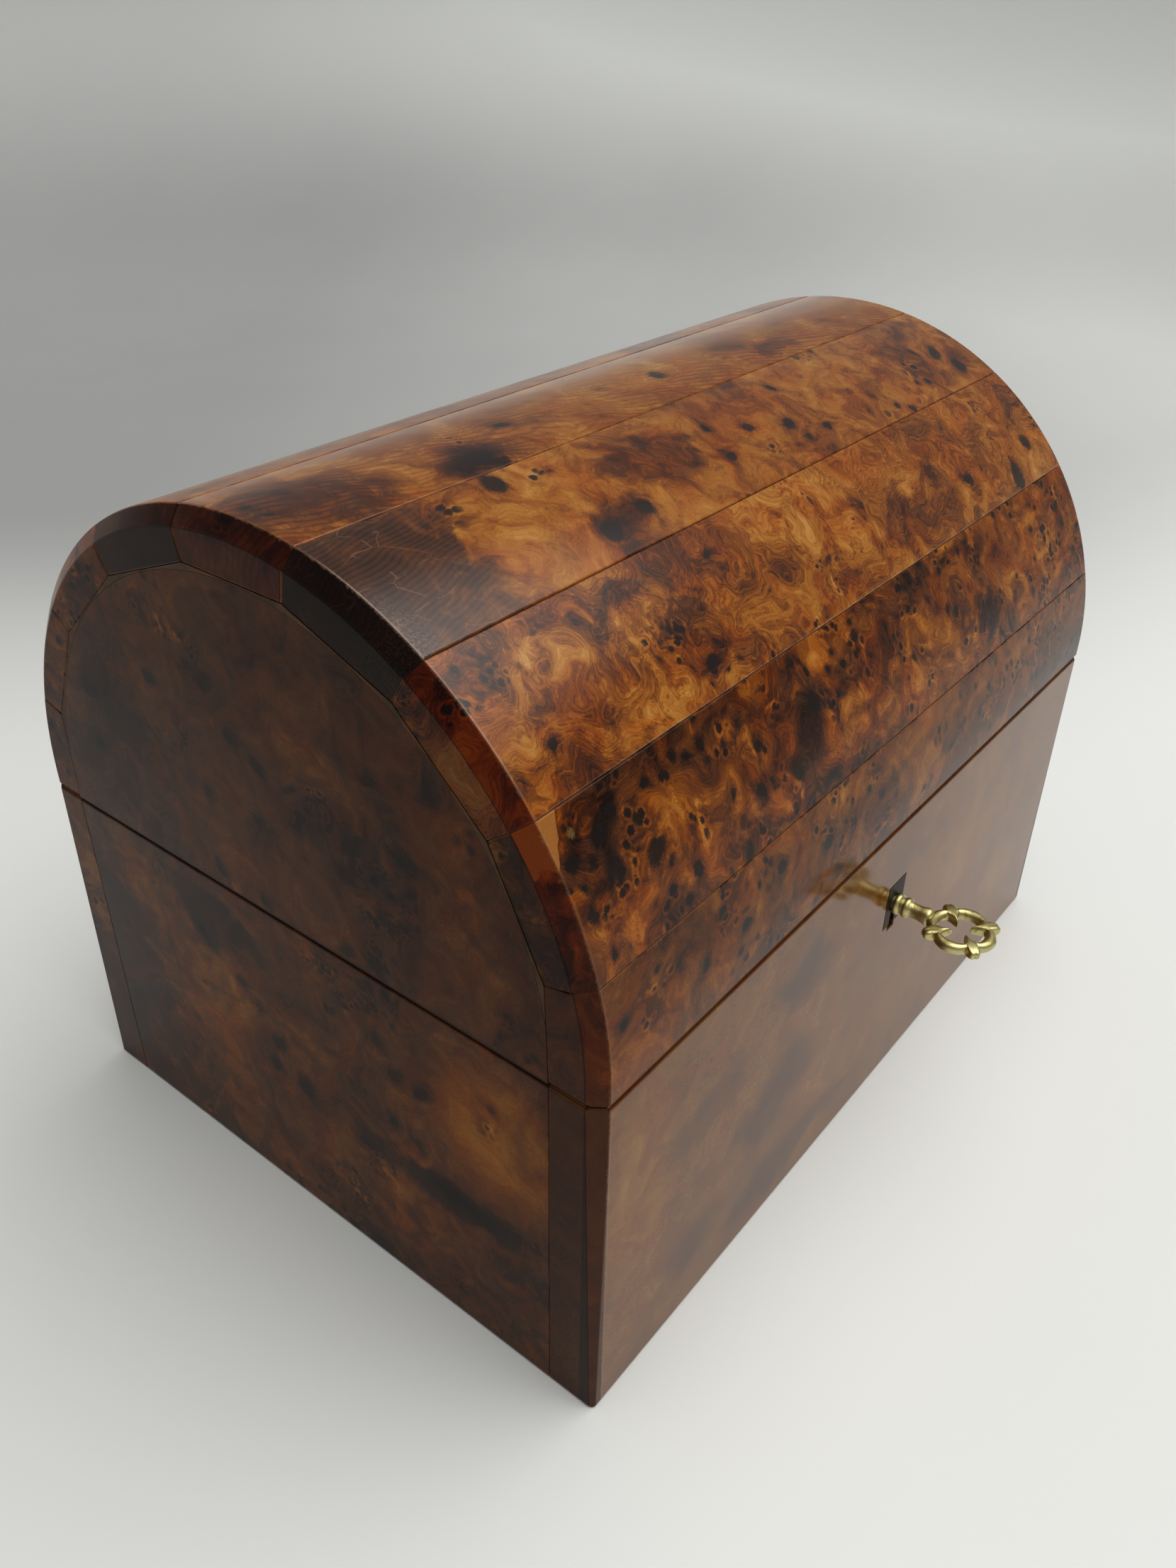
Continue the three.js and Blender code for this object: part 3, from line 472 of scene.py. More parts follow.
def burl(name, seed, tone, contrast, grain=0.5, lines=0.0, eyes=0.65, bud=1.0, eye_depth=0.92,
         spots=(), clouds=(), chamfer=(0.7, 0.48, 0.36), end=(0.42, 0.38, 0.36), sheen_tint=None,
         extra=None, shine=0.55, jointed=True):
    """The finish of one piece of burl.
    tone is 0 for dark and 1 for pale gold, and contrast how far the colour drifts from it;
    grain is the strength of the fibre, and lines that of growth lines;
    eyes is near 0 for none and 1 for eyes all over, bud their size, eye_depth how dark they are;
    spots are eyes given in a list, (place, radius), and clouds are (place, half sizes, tone added);
    chamfer, end and film tint the chamfer, the end face and the whole piece; the tint of the whole
    piece is a painted sheen, greying the wood where it mirrors the pale room;
    extra adds marks of the piece's own, shine is the weight of the polish, and jointed says
    whether there are glue lines"""
    wood = Burl(name, seed)
    shade = tone + (wood.figure - 0.5) * (1.15 * contrast) + (wood.curl - 0.5) * contrast
    shade = shade + (wood.fibre - 0.5) * (0.85 * grain) + (wood.speckle - 0.5) * 0.18
    if lines:
        # They are slices through the wood, slanting to all three axes
        growth = (wood.x * 0.4 + wood.y + wood.z * 0.5) * (2 * math.pi / LINE_SPACING)
        growth = (growth + wood.figure * 45 + wood.curl * 2).sine()
        shade = shade - wood.ease(growth, -0.2, 1.0) * wood.ease(wood.curl, 0.35, 0.6) * lines
    shade = clouded(wood, shade, contrast, clouds)
    eye, ring, rim, fleck = buds(wood, eyes, bud)
    eye, ring = spotted(wood, eye, ring, spots)
    shade = shade - ring * 0.14 + rim * 0.16 + fleck * 0.15

    colour = wood.ramp(shade, BURL_TONES)
    reddish = wood.ease(wood.noise(wood.wander, RED_SIZE, 2.0), 0.44, 0.60)
    colour = wood.blend(reddish * 0.8, colour, REDDISH, "MULTIPLY")
    colour = wood.blend(eye * eye_depth, colour, EYE_BROWN)
    # Painted sheen: a grey tint over the whole piece, where it mirrors the pale room
    if sheen_tint is not None:
        colour = wood.blend(1.0, colour, sheen_tint, "MULTIPLY")
    if jointed:
        colour = glued(wood, colour)
    if extra is not None:
        colour = extra(wood, colour)
    on_end = wood.ease(abs(wood.x), HALF_LENGTH - 0.12, HALF_LENGTH - 0.04)
    colour = wood.blend(on_end, colour, end, "MULTIPLY")
    colour, on_chamfer = chamfered(wood, colour, chamfer)
    # Painted shade in the seam between base and lid
    colour = seam_shaded(wood, colour)

    smear = wood.noise(wood.own, SMEAR_SIZE, 3.0, 0.6)
    inside = inner_side(wood)
    roughness = 0.10 + smear * 0.14 + eye * 0.08 + inside * 0.30
    height = wood.fibre * (0.5 * grain) + wood.speckle * (0.2 * grain) - eye * 0.4
    polish = (1 - inside) * (1 - on_end) * (1 - on_chamfer * 0.7) * shine
    return wood.surface({"IOR": WOOD_IOR, "Coat Roughness": COAT_ROUGHNESS}, Base_Color=colour,
                        Roughness=roughness, Coat_Weight=polish, bump=(height, BUMP_DEPTH))


print("tones of the burl:", len(BURL_TONES))

# %% [markdown]
# ## Places on the lid
# A place on the arch is given the way a barrel maker would: so far along the box, and so many
# degrees round the arch from its top towards the front.

# %% Find a place on the arch


def on_arch(x, angle):
    turn = math.radians(angle)
    return (x, -ARCH_RADIUS * math.sin(turn), ARCH_Z + ARCH_RADIUS * math.cos(turn))


def arch_spots(*rows):
    return [(on_arch(x, angle), radius) for x, angle, radius in rows]


def arch_clouds(*rows):
    return [(on_arch(x, angle), (along, across, across), change)
            for x, angle, along, across, change in rows]


burl_of = {}
print("top of the arch at", on_arch(0, 0))

# %% [markdown]
# ## The staves at the top
# Every piece of a burl is different, and a maker sets them side by side for their colours. The
# fourth stave lies on top and shows soft growth lines and one large eye. The third is pale and
# mottled, but its left end is dark, with straight growth lines and hair cracks in the varnish.
# The lists give the few clouds and eyes that are placed; all the rest is left to the pattern.

# %% Staves 4 and 3
CRAZED_PALE = (0.080, 0.035, 0.019)
CRAZED_DARK = (0.046, 0.020, 0.011)
CRACK_PALE = (0.30, 0.18, 0.11)
# A painted highlight near the left end of the third stave's arris
ARRIS_SHEEN = (0.33, 0.25, 0.21)


def crazed(wood, colour):
    """Straight growth lines and pale hair cracks in the varnish at the dark end of the third
    stave, and a painted highlight, a speckled pale sheen, on its arris"""
    region = wood.ease(wood.x + wood.curl * 12.0, -64.0, -72.0)
    bend = wood.noise(wood.waver, 14.0, 1.0) * 22.0 + wood.curl * 3.0
    stripe = wood.ease((wood.degrees * 7.5 + wood.x * 1.2 + bend).sine(), -0.5, 1.0)
    colour = wood.blend(region * 0.7, colour, wood.blend(stripe, CRAZED_PALE, CRAZED_DARK))
    stretched = wood.vector("MULTIPLY", wood.waver, (0.55, 1.0, 1.0))
    cracks = wood.cells(stretched, 5.0, "DISTANCE_TO_EDGE")
    broken = wood.ease(wood.curl, 0.46, 0.56) * wood.ease(wood.x, -76.0, -84.0)
    colour = wood.blend(wood.ease(cracks, 0.016, 0.004) * broken * 0.35, colour, CRACK_PALE)
    # Painted highlight: a speckled pale sheen near the arris at the left end
    sheen_patch = wood.ease(wood.x, -90.0, -98.0) * wood.ease(wood.degrees, 18.0, 29.0)
    return wood.blend(sheen_patch * wood.ease(wood.speckle, 0.40, 0.75) * 0.35, colour, ARRIS_SHEEN)


burl_of["lid_stave_4"] = burl(
    "burl_stave_4", 4, tone=0.66, contrast=0.65, grain=0.4, lines=0.14, eyes=0.36,
    shine=0.8, chamfer=(0.17, 0.09, 0.07), end=(0.17, 0.10, 0.08),
    clouds=arch_clouds((-86, 2, 18, 14, -0.25), (-52, 6, 11, 6, -0.28), (-22, 3, 14, 12, 0.10),
                       (10, -2, 22, 10, 0.14), (45, 6, 9, 4, -0.2), (75, 4, 20, 10, 0.05)),
    spots=arch_spots((-38, 1, 1.5), (8, 2, 2.4), (-8, 0, 1.5), (-53, 7, 3.5)))
burl_of["lid_stave_3"] = burl(
    "burl_stave_3", 3, tone=0.64, contrast=0.8, grain=0.6, eyes=0.58, shine=1.0,
    bud=1.2, extra=crazed, chamfer=(0.14, 0.10, 0.09), end=(0.15, 0.13, 0.12),
    clouds=arch_clouds((-90, 21, 19, 15, -0.38), (-64, 22, 6, 14, 0.08), (-46, 15, 10, 4, 0.02),
                       (-45, 26, 9, 4, -0.20), (-25, 20, 12, 10, -0.26),
                       (-8, 15, 8, 4, 0.12), (20, 20, 24, 11, 0.04), (75, 22, 25, 12, -0.06)),
    spots=arch_spots((-58, 13, 2.6), (-47.5, 27.5, 2.7), (-38, 26.5, 2.3), (-5, 18.5, 1.3),
                     (5, 21.5, 1.6), (15, 23.5, 1.8), (17, 27, 1.5), (24, 27.5, 1.4),
                     (24, 16.5, 1.5), (-8, 25.5, 1.5), (55, 31, 1.5), (84, 23, 2.2), (88, 28, 2.4)))
print("burl finishes so far:", len(burl_of))

# %% [markdown]
# ## The staves above the seam
# The second stave is golden and the liveliest of all. The first is dark and full of eyes. Its upper
# left corner was missing and is filled with a patch of tan wood, with a small green chip beside it:
# both are surface, so they are painted. The front rail, below the last joint, is the same wood in
# more shade.

# %% Staves 2 and 1 and the front rail
FILLER_TAN = (0.36, 0.155, 0.042)
FILLER_SPECK = (0.26, 0.10, 0.025)
CHIP_GREEN = (0.12, 0.085, 0.032)
CHIP_PLACE = (-92.5, 56.0)
# Lengths in mm of the patch along the box and down the stave
PATCH_ALONG, PATCH_DOWN = 4.6, 8.5


def filled_corner(wood, colour):
    """The tan patch that fills the missing corner of the first stave, and the chip beside it"""
    inwards = (wood.x + (HALF_LENGTH - CHAMFER_ALONG)).most(0.0)
    down = (wood.degrees - STAVE_ANGLE * 2.5) * (math.radians(1) * ARCH_RADIUS)
    corner = inwards / PATCH_ALONG + down / PATCH_DOWN + (wood.curl - 0.5) * 0.9
    on_skin = wood.ease(wood.x, -HALF_LENGTH + 0.02, -HALF_LENGTH + 0.1)
    chip = wood.vector("DISTANCE", wood.waver, on_arch(*CHIP_PLACE), output=1)
    chip = wood.ease(chip + (wood.speckle - 0.5) * 1.5, 1.0, 0.7)
    colour = wood.blend(chip, colour, CHIP_GREEN)
    grainy = wood.blend(wood.speckle, FILLER_TAN, FILLER_SPECK)
    return wood.blend(wood.ease(corner, 1.0, 0.96) * on_skin, colour, grainy)


burl_of["lid_stave_2"] = burl(
    "burl_stave_2", 2, tone=0.60, contrast=0.85, grain=1.15, eyes=0.54, bud=0.75, shine=0.85,
    chamfer=(0.36, 0.18, 0.125), end=(0.42, 0.36, 0.30),
    clouds=arch_clouds((-82, 46, 20, 8, -0.16), (-74, 37, 9, 5, -0.14), (-72, 34, 18, 3, -0.10),
                       (-58, 35, 5, 2.5, -0.22), (-40, 42, 18, 10, 0.02), (8, 36, 12, 4, 0.14),
                       (3, 48, 12, 6, -0.14), (28, 45, 11, 4, -0.08), (31, 43, 3, 2, 0.3),
                       (66, 45, 5, 9, -0.16), (80, 38, 12, 6, 0.02), (48, 37, 8, 4, 0.14),
                       (36, 42, 14, 9, 0.09)),
    spots=arch_spots((-88, 47.5, 1.3), (-48, 48.5, 1.5), (55, 46.5, 2.2), (75, 51, 3.2),
                     (87, 46, 2.2), (-34, 36, 1.0)))
burl_of["lid_stave_1"] = burl(
    "burl_stave_1", 1, tone=0.46, contrast=0.8, grain=0.8, eyes=0.86, bud=0.95, shine=0.2,
    chamfer=(0.52, 0.29, 0.19), end=(0.36, 0.33, 0.30), extra=filled_corner,
    clouds=arch_clouds((-88, 62, 12, 8, -0.14), (-70, 65, 6, 6, 0.05), (-10, 70, 24, 4, 0.16),
                       (-20, 61, 18, 5, -0.10), (20, 70, 24, 6, 0.05), (75, 66, 24, 9, 0.10),
                       (42, 69, 5, 5, -0.14), (-55, 58, 5, 2, 0.2)),
    spots=arch_spots((-95, 59, 1.6), (-88, 58, 1.7), (-88, 63, 2.6), (-84, 57, 1.2),
                     (-80, 60, 1.3), (-79, 65, 2.3), (-76, 57, 1.3), (-70, 58, 1.2),
                     (-60, 57, 1.0), (-55, 59, 1.2), (-50, 58.5, 1.4), (-47, 61.5, 1.2),
                     (-57, 65, 1.4), (-49, 67, 1.5), (-30, 56, 1.5), (-29, 62, 2.4),
                     (-38, 69, 1.5), (-9, 57, 1.6), (-95, 66, 1.5), (-70, 70, 1.6)))
# The rail's slight grey tint is a painted sheen
burl_of["lid_front_rail"] = burl(
    "burl_front_rail", 9, tone=0.42, contrast=0.6, grain=0.4, eyes=0.89, bud=0.85, shine=0.15,
    sheen_tint=(0.93, 1.0, 1.0), chamfer=(0.48, 0.33, 0.27), end=(0.36, 0.30, 0.27),
    clouds=arch_clouds((-10, 77, 30, 4, 0.12), (60, 80, 34, 8, 0.10)),
    spots=arch_spots((-93, 81, 1.3), (-79, 81, 1.4), (-72, 84, 1.5), (-66, 77, 1.2),
                     (-60, 83, 1.3), (-48, 79, 1.6), (-32, 82, 1.5)))
print("burl finishes so far:", len(burl_of))

# %% [markdown]
# ## The staves behind
# The photograph doesn't show the back of the lid, so its pieces have no places of their own: each
# has only another seed, tone and number of eyes.

# %% Staves 5, 6 and 7 and the back rail
burl_of["lid_stave_5"] = burl("burl_stave_5", 5, tone=0.60, contrast=0.7, shine=0.15, eyes=0.50,
                              chamfer=(0.14, 0.08, 0.06), end=(0.08, 0.06, 0.05))
burl_of["lid_stave_6"] = burl("burl_stave_6", 6, tone=0.56, contrast=0.8, eyes=0.65)
burl_of["lid_stave_7"] = burl("burl_stave_7", 7, tone=0.50, contrast=0.8, eyes=0.79)
burl_of["lid_back_rail"] = burl("burl_back_rail", 8, tone=0.50, contrast=0.7, eyes=0.79)
print("burl finishes so far:", len(burl_of))

# %% [markdown]
# ## The front and back boards
# The front board has few eyes and soft, wide clouds. It mirrors the pale table, which makes it look
# milky, so its own colour is kept quiet, and a grey tint over the whole board adds a painted sheen.
# Its clouds are so thick that they reach through the board.

# %% Boards along the front and back


def front_clouds(*rows):
    return [((x, FRONT, z), (across, 20.0, high), change) for x, z, across, high, change in rows]


burl_of["front_board"] = burl(
    "burl_front_board", 11, tone=0.51, contrast=0.24, grain=0.18, eyes=0.12, bud=1.1,
    eye_depth=0.35, sheen_tint=(0.85, 1.02, 0.93), shine=0.42, chamfer=(0.38, 0.29, 0.25),
    end=(0.30, 0.25, 0.22), jointed=False,
    clouds=front_clouds((-88, 50, 10, 26, 0.10), (-29, 61, 13, 7, -0.14), (-66, 52, 16, 6, -0.09),
                        (-40, 34, 15, 10, -0.18), (-66, 19, 13, 7, -0.12),
                        (-34, 12, 20, 6, -0.11), (40, 50, 24, 16, 0.06), (70, 20, 22, 14, 0.04)))
burl_of["back_board"] = burl("burl_back_board", 12, tone=0.50, contrast=0.8, eyes=0.65,
                             jointed=False)
print("burl finishes so far:", len(burl_of))

# %% [markdown]
# ## The two ends
# The left end of the box stands in the shade. A grey tint over the whole piece, without any polish,
# is a painted sheen there, standing in for how it mirrors the grey room. The right end isn't seen
# and is plainer. These pieces show their flat outer face at the very end of the box, so that face
# isn't tinted as cut wood is.

# %% Boards and panels of the ends
UNTINTED = (1.0, 1.0, 1.0)


def end_spots(side, *rows):
    """Side is -1 for the left end and 1 for the right"""
    return [((side * HALF_LENGTH, y, z), radius) for y, z, radius in rows]


def end_clouds(side, *rows):
    return [((side * HALF_LENGTH, y, z), (30.0, across, high), change)
            for y, z, across, high, change in rows]


burl_of["left_end_board"] = burl(
    "burl_left_end_board", 13, tone=0.35, contrast=0.45, grain=0.25, eyes=0.43, bud=0.8,
    eye_depth=0.6, shine=0.0, sheen_tint=(0.79, 0.88, 0.90), end=UNTINTED, jointed=False,
    clouds=end_clouds(-1, (-52, 58, 16, 18, 0.22), (-20, 22, 24, 14, 0.12), (24, 48, 12, 22, 0.12),
                      (-36, 34, 20, 5, -0.26), (58, 36, 14, 36, -0.14),
                      (22, 66, 12, 8, -0.2), (-62, 25, 12, 5, -0.14)),
    spots=end_spots(-1, (-24, 63, 1.9), (-28, 57, 1.9), (-35, 58, 1.7), (-26, 45, 1.6),
                    (-33, 44, 2.0), (-2, 36, 2.2), (-16, 33, 1.8), (16, 55, 1.6), (26, 63, 2.2),
                    (6, 44, 1.6), (8, 38, 1.6), (-22, 76, 1.4), (12, 50, 1.5)))
burl_of["right_end_board"] = burl("burl_right_end_board", 14, tone=0.46, contrast=0.7, eyes=0.65,
                                  end=UNTINTED, jointed=False)
burl_of["lid_left_end"] = burl(
    "burl_lid_left_end", 15, tone=0.28, contrast=0.4, grain=0.25, eyes=0.54, bud=0.75,
    eye_depth=0.55, shine=0.0, sheen_tint=(0.79, 0.88, 0.90), end=UNTINTED, jointed=False,
    clouds=end_clouds(-1, (8, 96, 16, 14, 0.10), (30, 130, 24, 16, 0.04), (-48, 106, 12, 26, 0.10),
                      (45, 98, 16, 16, -0.06)),
    spots=end_spots(-1, (-28, 122, 1.7), (-40, 125, 1.9), (-34, 108, 1.7), (-58, 115, 1.9),
                    (-22, 106, 2.0), (-20, 100, 1.5), (-28, 94, 1.8), (-25, 83, 1.7),
                    (-17, 82, 1.3), (2, 101, 1.3), (6, 115, 1.2), (12, 125, 1.3), (50, 111, 1.6),
                    (28, 120, 1.2), (0, 112, 1.2), (16, 101, 1.3), (50, 98, 1.3),
                    (4, 82, 1.2), (16, 84, 1.3)))
burl_of["lid_right_end"] = burl("burl_lid_right_end", 16, tone=0.42, contrast=0.6, eyes=0.65,
                                end=UNTINTED, jointed=False)
print("burl finishes:", len(burl_of))

# %% [markdown]
# ## Brass and steel
# The key is cast and tumbled brass, a little olive where it has tarnished and pale where fingers
# rub it. The hinges and the lock are brighter sheet brass with fine lines from rolling. The steel
# of the bolt and pins is dull. All of them are one metal finish with other colours and scratches.

# %% Metals


def metal(name, bright, dull, roughness, patchy=0.5, brushed=0.0):
    """patchy is how much of the metal has gone dull, and brushed the strength of the fine lines"""
    made = Finish(name)
    at = made.place()
    cloudy = made.noise(at, 3.0, 4.0, 0.6)
    stretched = made.vector("MULTIPLY", at, (1.0, 14.0, 14.0))
    lines = made.noise(stretched, 3.0, 2.0)
    speckle = made.noise(at, 0.35, 2.0)
    tarnish = made.ease(cloudy + (speckle - 0.5) * 0.3, 0.70 - 0.3 * patchy, 0.85 - 0.3 * patchy)
    colour = made.blend(tarnish, bright, dull)
    rough = roughness + tarnish * 0.14 + (lines - 0.5) * (0.25 * brushed) + (speckle - 0.5) * 0.08
    bump = (lines * brushed + cloudy * 0.5 + speckle * 0.15, 0.012)
    return made.surface({"Metallic": 1.0, "IOR": 1.5}, Base_Color=colour, Roughness=rough,
                        bump=bump)


key_brass = metal("key_brass_finish", (0.56, 0.50, 0.25), (0.33, 0.28, 0.115), 0.36, 0.6)
hinge_brass = metal("hinge_brass_finish", (0.82, 0.62, 0.26), (0.50, 0.33, 0.11), 0.24, 0.3, 0.8)
lock_brass = metal("lock_brass_finish", (0.80, 0.62, 0.28), (0.45, 0.31, 0.12), 0.28, 0.4, 1.0)
screw_brass = metal("screw_brass_finish", (0.78, 0.60, 0.27), (0.40, 0.28, 0.10), 0.26, 0.5)
steel = metal("steel_finish", (0.50, 0.50, 0.50), (0.22, 0.20, 0.18), 0.34, 0.5, 0.6)
spring_steel = metal("spring_steel_finish", (0.30, 0.33, 0.38), (0.12, 0.11, 0.11), 0.28, 0.4, 0.5)
print("metals:", key_brass.name, hinge_brass.name, lock_brass.name, screw_brass.name, steel.name,
      spring_steel.name)

# %% [markdown]
# ## Ebony, filler and the plain bottom board
# The slip round the keyhole is ebony, nearly black. The filler round the end panels is wood dust in
# glue, without any grain. The bottom board is plain straight-grained wood, as nobody sees it. All
# three are a coarse and a fine noise of other sizes, drawn out along the grain where there is any.

# %% Plain woods


def grained(name, dark, pale, grain, sizes, roughness, coat):
    """grain scales the place on each axis: a small number draws the pattern out along it;
    sizes are those of streaks and pores"""
    made = Finish(name)
    at = made.place()
    drift = made.noise(at, 20.0, 2.0, 0.5, "Color")
    wander = made.vector("MULTIPLY_ADD", drift, (3.0, 3.0, 3.0), at)
    long_way = made.vector("MULTIPLY", wander, grain)
    streaks = made.noise(long_way, sizes[0], 3.0, 0.6)
    pores = made.noise(long_way, sizes[1], 2.0, 0.6)
    tone = made.ease(streaks, 0.3, 0.7) * 0.7 + made.ease(pores, 0.35, 0.65) * 0.3
    colour = made.blend(tone, dark, pale)
    rough = roughness + (pores - 0.5) * 0.2
    return made.surface({"IOR": 1.3, "Coat Roughness": 0.1, "Coat Weight": coat},
                        Base_Color=colour, Roughness=rough, bump=(pores, 0.03))


ebony = grained("ebony_finish", (0.012, 0.007, 0.005), (0.040, 0.022, 0.014),
                (1.0, 1.0, 0.15), (0.8, 0.25), 0.45, 0.0)
filler = grained("wood_filler_finish", (0.034, 0.018, 0.008), (0.115, 0.060, 0.026),
                 (1.0, 1.0, 1.0), (6.0, 0.3), 0.5, 0.0)
plain_wood = grained("plain_wood_finish", (0.30, 0.16, 0.075), (0.42, 0.25, 0.12),
                     (0.12, 1.0, 1.0), (3.0, 0.4), 0.5, 0.1)
print("plain woods:", ebony.name, filler.name, plain_wood.name)

# %% [markdown]
# ## Finer boards and staves
# The CAD solids are right in size, but their arch is made of flat strips and their arrises are
# knife sharp. Real staves are planed and sanded into one smooth curve, and every outer arris is
# rubbed over a little. Each finer piece starts as a copy of its CAD node: the loose triangles
# are merged, the arch is cut at every degree and its vertices pushed out to the true circle, and
# the outer arrises get a small round bevel.

# %% Copy a node and round its arch
ARCH_STEP = 1.0
# Vertices closer than this in mm are one, and edges flatter than this in degrees dissolve
SAME_PLACE = 0.002
SAME_PLANE = 0.3
# A vertex this close in mm to the arch's circle belongs to it
NEAR_CIRCLE = 0.12


def skin_reach(co):
    """Distance in mm out from the middle of the arch; below it, out from the middle of the box"""
    up = max(co.z / MM - ARCH_Z, 0.0)
    return math.hypot(co.y / MM, up)


def merged_copy(node):
    shape = bmesh.new()
    shape.from_mesh(frame["nodes"][node].data)
    bmesh.ops.remove_doubles(shape, verts=shape.verts, dist=SAME_PLACE * MM)
    bmesh.ops.dissolve_limit(shape, angle_limit=math.radians(SAME_PLANE), verts=shape.verts,
                             edges=shape.edges, use_dissolve_boundaries=False)
    return shape


def round_arch(shape):
    """Cuts the arch at every degree and sets its outer vertices on the circle"""
    middle = Vector((0, 0, ARCH_Z)) * MM
    steps = int(180 / ARCH_STEP)
    for step in range(1, steps):
        turn = math.radians(-90 + step * ARCH_STEP)
        across = Vector((0, math.cos(turn), math.sin(turn)))
        reach = [across.dot(v.co - middle) for v in shape.verts]
        if min(reach) < -0.1 * MM and max(reach) > 0.1 * MM:
            bmesh.ops.bisect_plane(shape, geom=shape.verts[:] + shape.edges[:] + shape.faces[:],
                                   dist=0.001 * MM, plane_co=middle, plane_no=across)
    # The skin itself, and at the very ends the smaller circle at the foot of the chamfer
    circles = ((ARCH_RADIUS, 0.0), (ARCH_RADIUS - CHAMFER_DOWN, HALF_LENGTH - 0.1))
    for vert in shape.verts:
        reach = skin_reach(vert.co)
        if vert.co.z / MM <= ARCH_Z:
            continue
        for circle, least_x in circles:
            if abs(reach - circle) < NEAR_CIRCLE and abs(vert.co.x) / MM >= least_x:
                grow = circle / reach
                vert.co.y *= grow
                vert.co.z = middle.z + (vert.co.z - middle.z) * grow


print("arch cut at every", ARCH_STEP, "degree")

# %% Bevel the arrises
# A millimetre or less beyond the chamfer, so that both its edges count as outer ones
SKIN_AT_END = 3.5
SKIN_ROUND = 3.6
SHARP_ANGLE = 20.0


def on_skin(co):
    return abs(co.x) / MM > HALF_LENGTH - SKIN_AT_END or skin_reach(co) > ARCH_RADIUS - SKIN_ROUND


def on_arch_end(edge):
    """True for an edge that runs round the end of the arch, not along a joint"""
    first, second = (abs(vert.co.x) / MM for vert in edge.verts)
    return abs(first - second) < 0.01 and first > HALF_LENGTH - CHAMFER_ALONG - 0.1


def ease_arrises(shape, width, arched):
    """A small round bevel on every outer arris; on a stave only round the ends of the arch"""
    arrises = [edge for edge in shape.edges
               if edge.is_manifold and edge.calc_face_angle() > math.radians(SHARP_ANGLE)
               and all(on_skin(vert.co) for vert in edge.verts)
               and (not arched or on_arch_end(edge))]
    bmesh.ops.bevel(shape, geom=arrises, offset=width * MM, offset_type="OFFSET", segments=2,
                    profile=0.5, affect="EDGES", clamp_overlap=True, material=-1)
    return len(arrises)


def finished(shape, name, material, smooth_angle):
    """Makes the shape an object whose faces shade smoothly up to an angle"""
    bmesh.ops.recalc_face_normals(shape, faces=shape.faces)
    for face in shape.faces:
        face.smooth = True
    for edge in shape.edges:
        if edge.is_manifold and edge.calc_face_angle() > math.radians(smooth_angle):
            edge.smooth = False
    mesh = bpy.data.meshes.new(name)
    shape.to_mesh(mesh)
    shape.free()
    mesh.materials.append(material)
    piece = bpy.data.objects.new(name, mesh)
    bpy.context.scene.collection.objects.link(piece)
    return piece


print("an arris is an edge sharper than", SHARP_ANGLE, "degrees")

# %% [markdown]
# The four boards of the base, the two rails and the seven staves are all made this way. Only the
# strips of the arch shade into each other, so the smooth angle is small: a bevel must not bend the
# shading of a flat face. The chamfered ends of the arch are rubbed a little rounder than the base.

# %% Make the polished woodwork
FLAT_ANGLE = 5.0
STAVE_BEVEL = 0.3
BOARD_BEVEL = 0.2
SLOT_OF = {
    "front_board": "burl_board", "back_board": "burl_board",
    "left_end_board": "burl_base_end", "right_end_board": "burl_base_end",
    "lid_front_rail": "burl_rail", "lid_back_rail": "burl_rail",
    **{f"lid_stave_{number}": f"burl_stave_{number}" for number in range(1, STAVE_COUNT + 1)},
}

for node, slot in SLOT_OF.items():
    shape = merged_copy(node)
    arched = node.startswith("lid")
    if arched:
        round_arch(shape)
    arrises = ease_arrises(shape, STAVE_BEVEL if arched else BOARD_BEVEL, arched)
    piece = finished(shape, f"polished_{node}", burl_of[node], FLAT_ANGLE)
    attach(piece, "lid" if arched else "base")
    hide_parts(node)
    print(piece.name, "arrises", arrises, "faces", len(piece.data.polygons))

# %% [markdown]
# ## The key
# The key is turned and cast in one: a shank that disappears in the lock, a collar, two rings, a
# neck, and a flat bow of round bar that loops round in four lobes. The stem is a body of
# revolution, so half its outline is drawn once, from the bore at the inner end to the bow, and spun
# round its axis.

# %% Turn the stem
key_joint = next(j for j in frame["record"]["behaviour"]["joints"] if j["name"] == "key_turn")
KEY_AXIS = Vector(key_joint["pos_m"]) / MM
SHANK_FOOT = FRONT - box_mm("key")[1].y
BORE_RADIUS = 1.15
BORE_END = SHANK_FOOT + 4.0
# Radius, and distance out from the face of the box
KEY_OUTLINE = [
    (0.0, BORE_END), (BORE_RADIUS, BORE_END), (BORE_RADIUS, SHANK_FOOT), (1.7, SHANK_FOOT),
    (1.8, SHANK_FOOT + 0.1), (1.8, 0.3), (2.3, 0.42), (2.45, 0.6), (2.45, 1.4), (2.3, 1.6),
    (1.9, 1.9), (1.9, 2.4), (2.2, 2.6), (2.3, 2.85), (2.3, 3.4), (2.15, 3.65), (1.75, 4.0),
    (1.65, 4.4), (1.65, 5.8), (1.75, 6.6), (2.05, 7.9), (1.9, 8.5), (1.4, 8.9), (0.0, 9.0),
]
STEM_STEPS = 40


def out_of_box(across, out, up=0.0):
    """A point of the key: across it, out from the face of the box, and above its axis"""
    return Vector((KEY_AXIS.x + across, FRONT - out, KEY_AXIS.z + up)) * MM


def spun(shape, points, centre, axis, steps):
    """Joins points to an outline and spins it once round the axis"""
    verts = [shape.verts.new(point) for point in points]
    edges = [shape.edges.new(pair) for pair in zip(verts, verts[1:])]
    bmesh.ops.spin(shape, geom=verts + edges, cent=centre, axis=axis, angle=2 * math.pi,
                   steps=steps, use_merge=True)


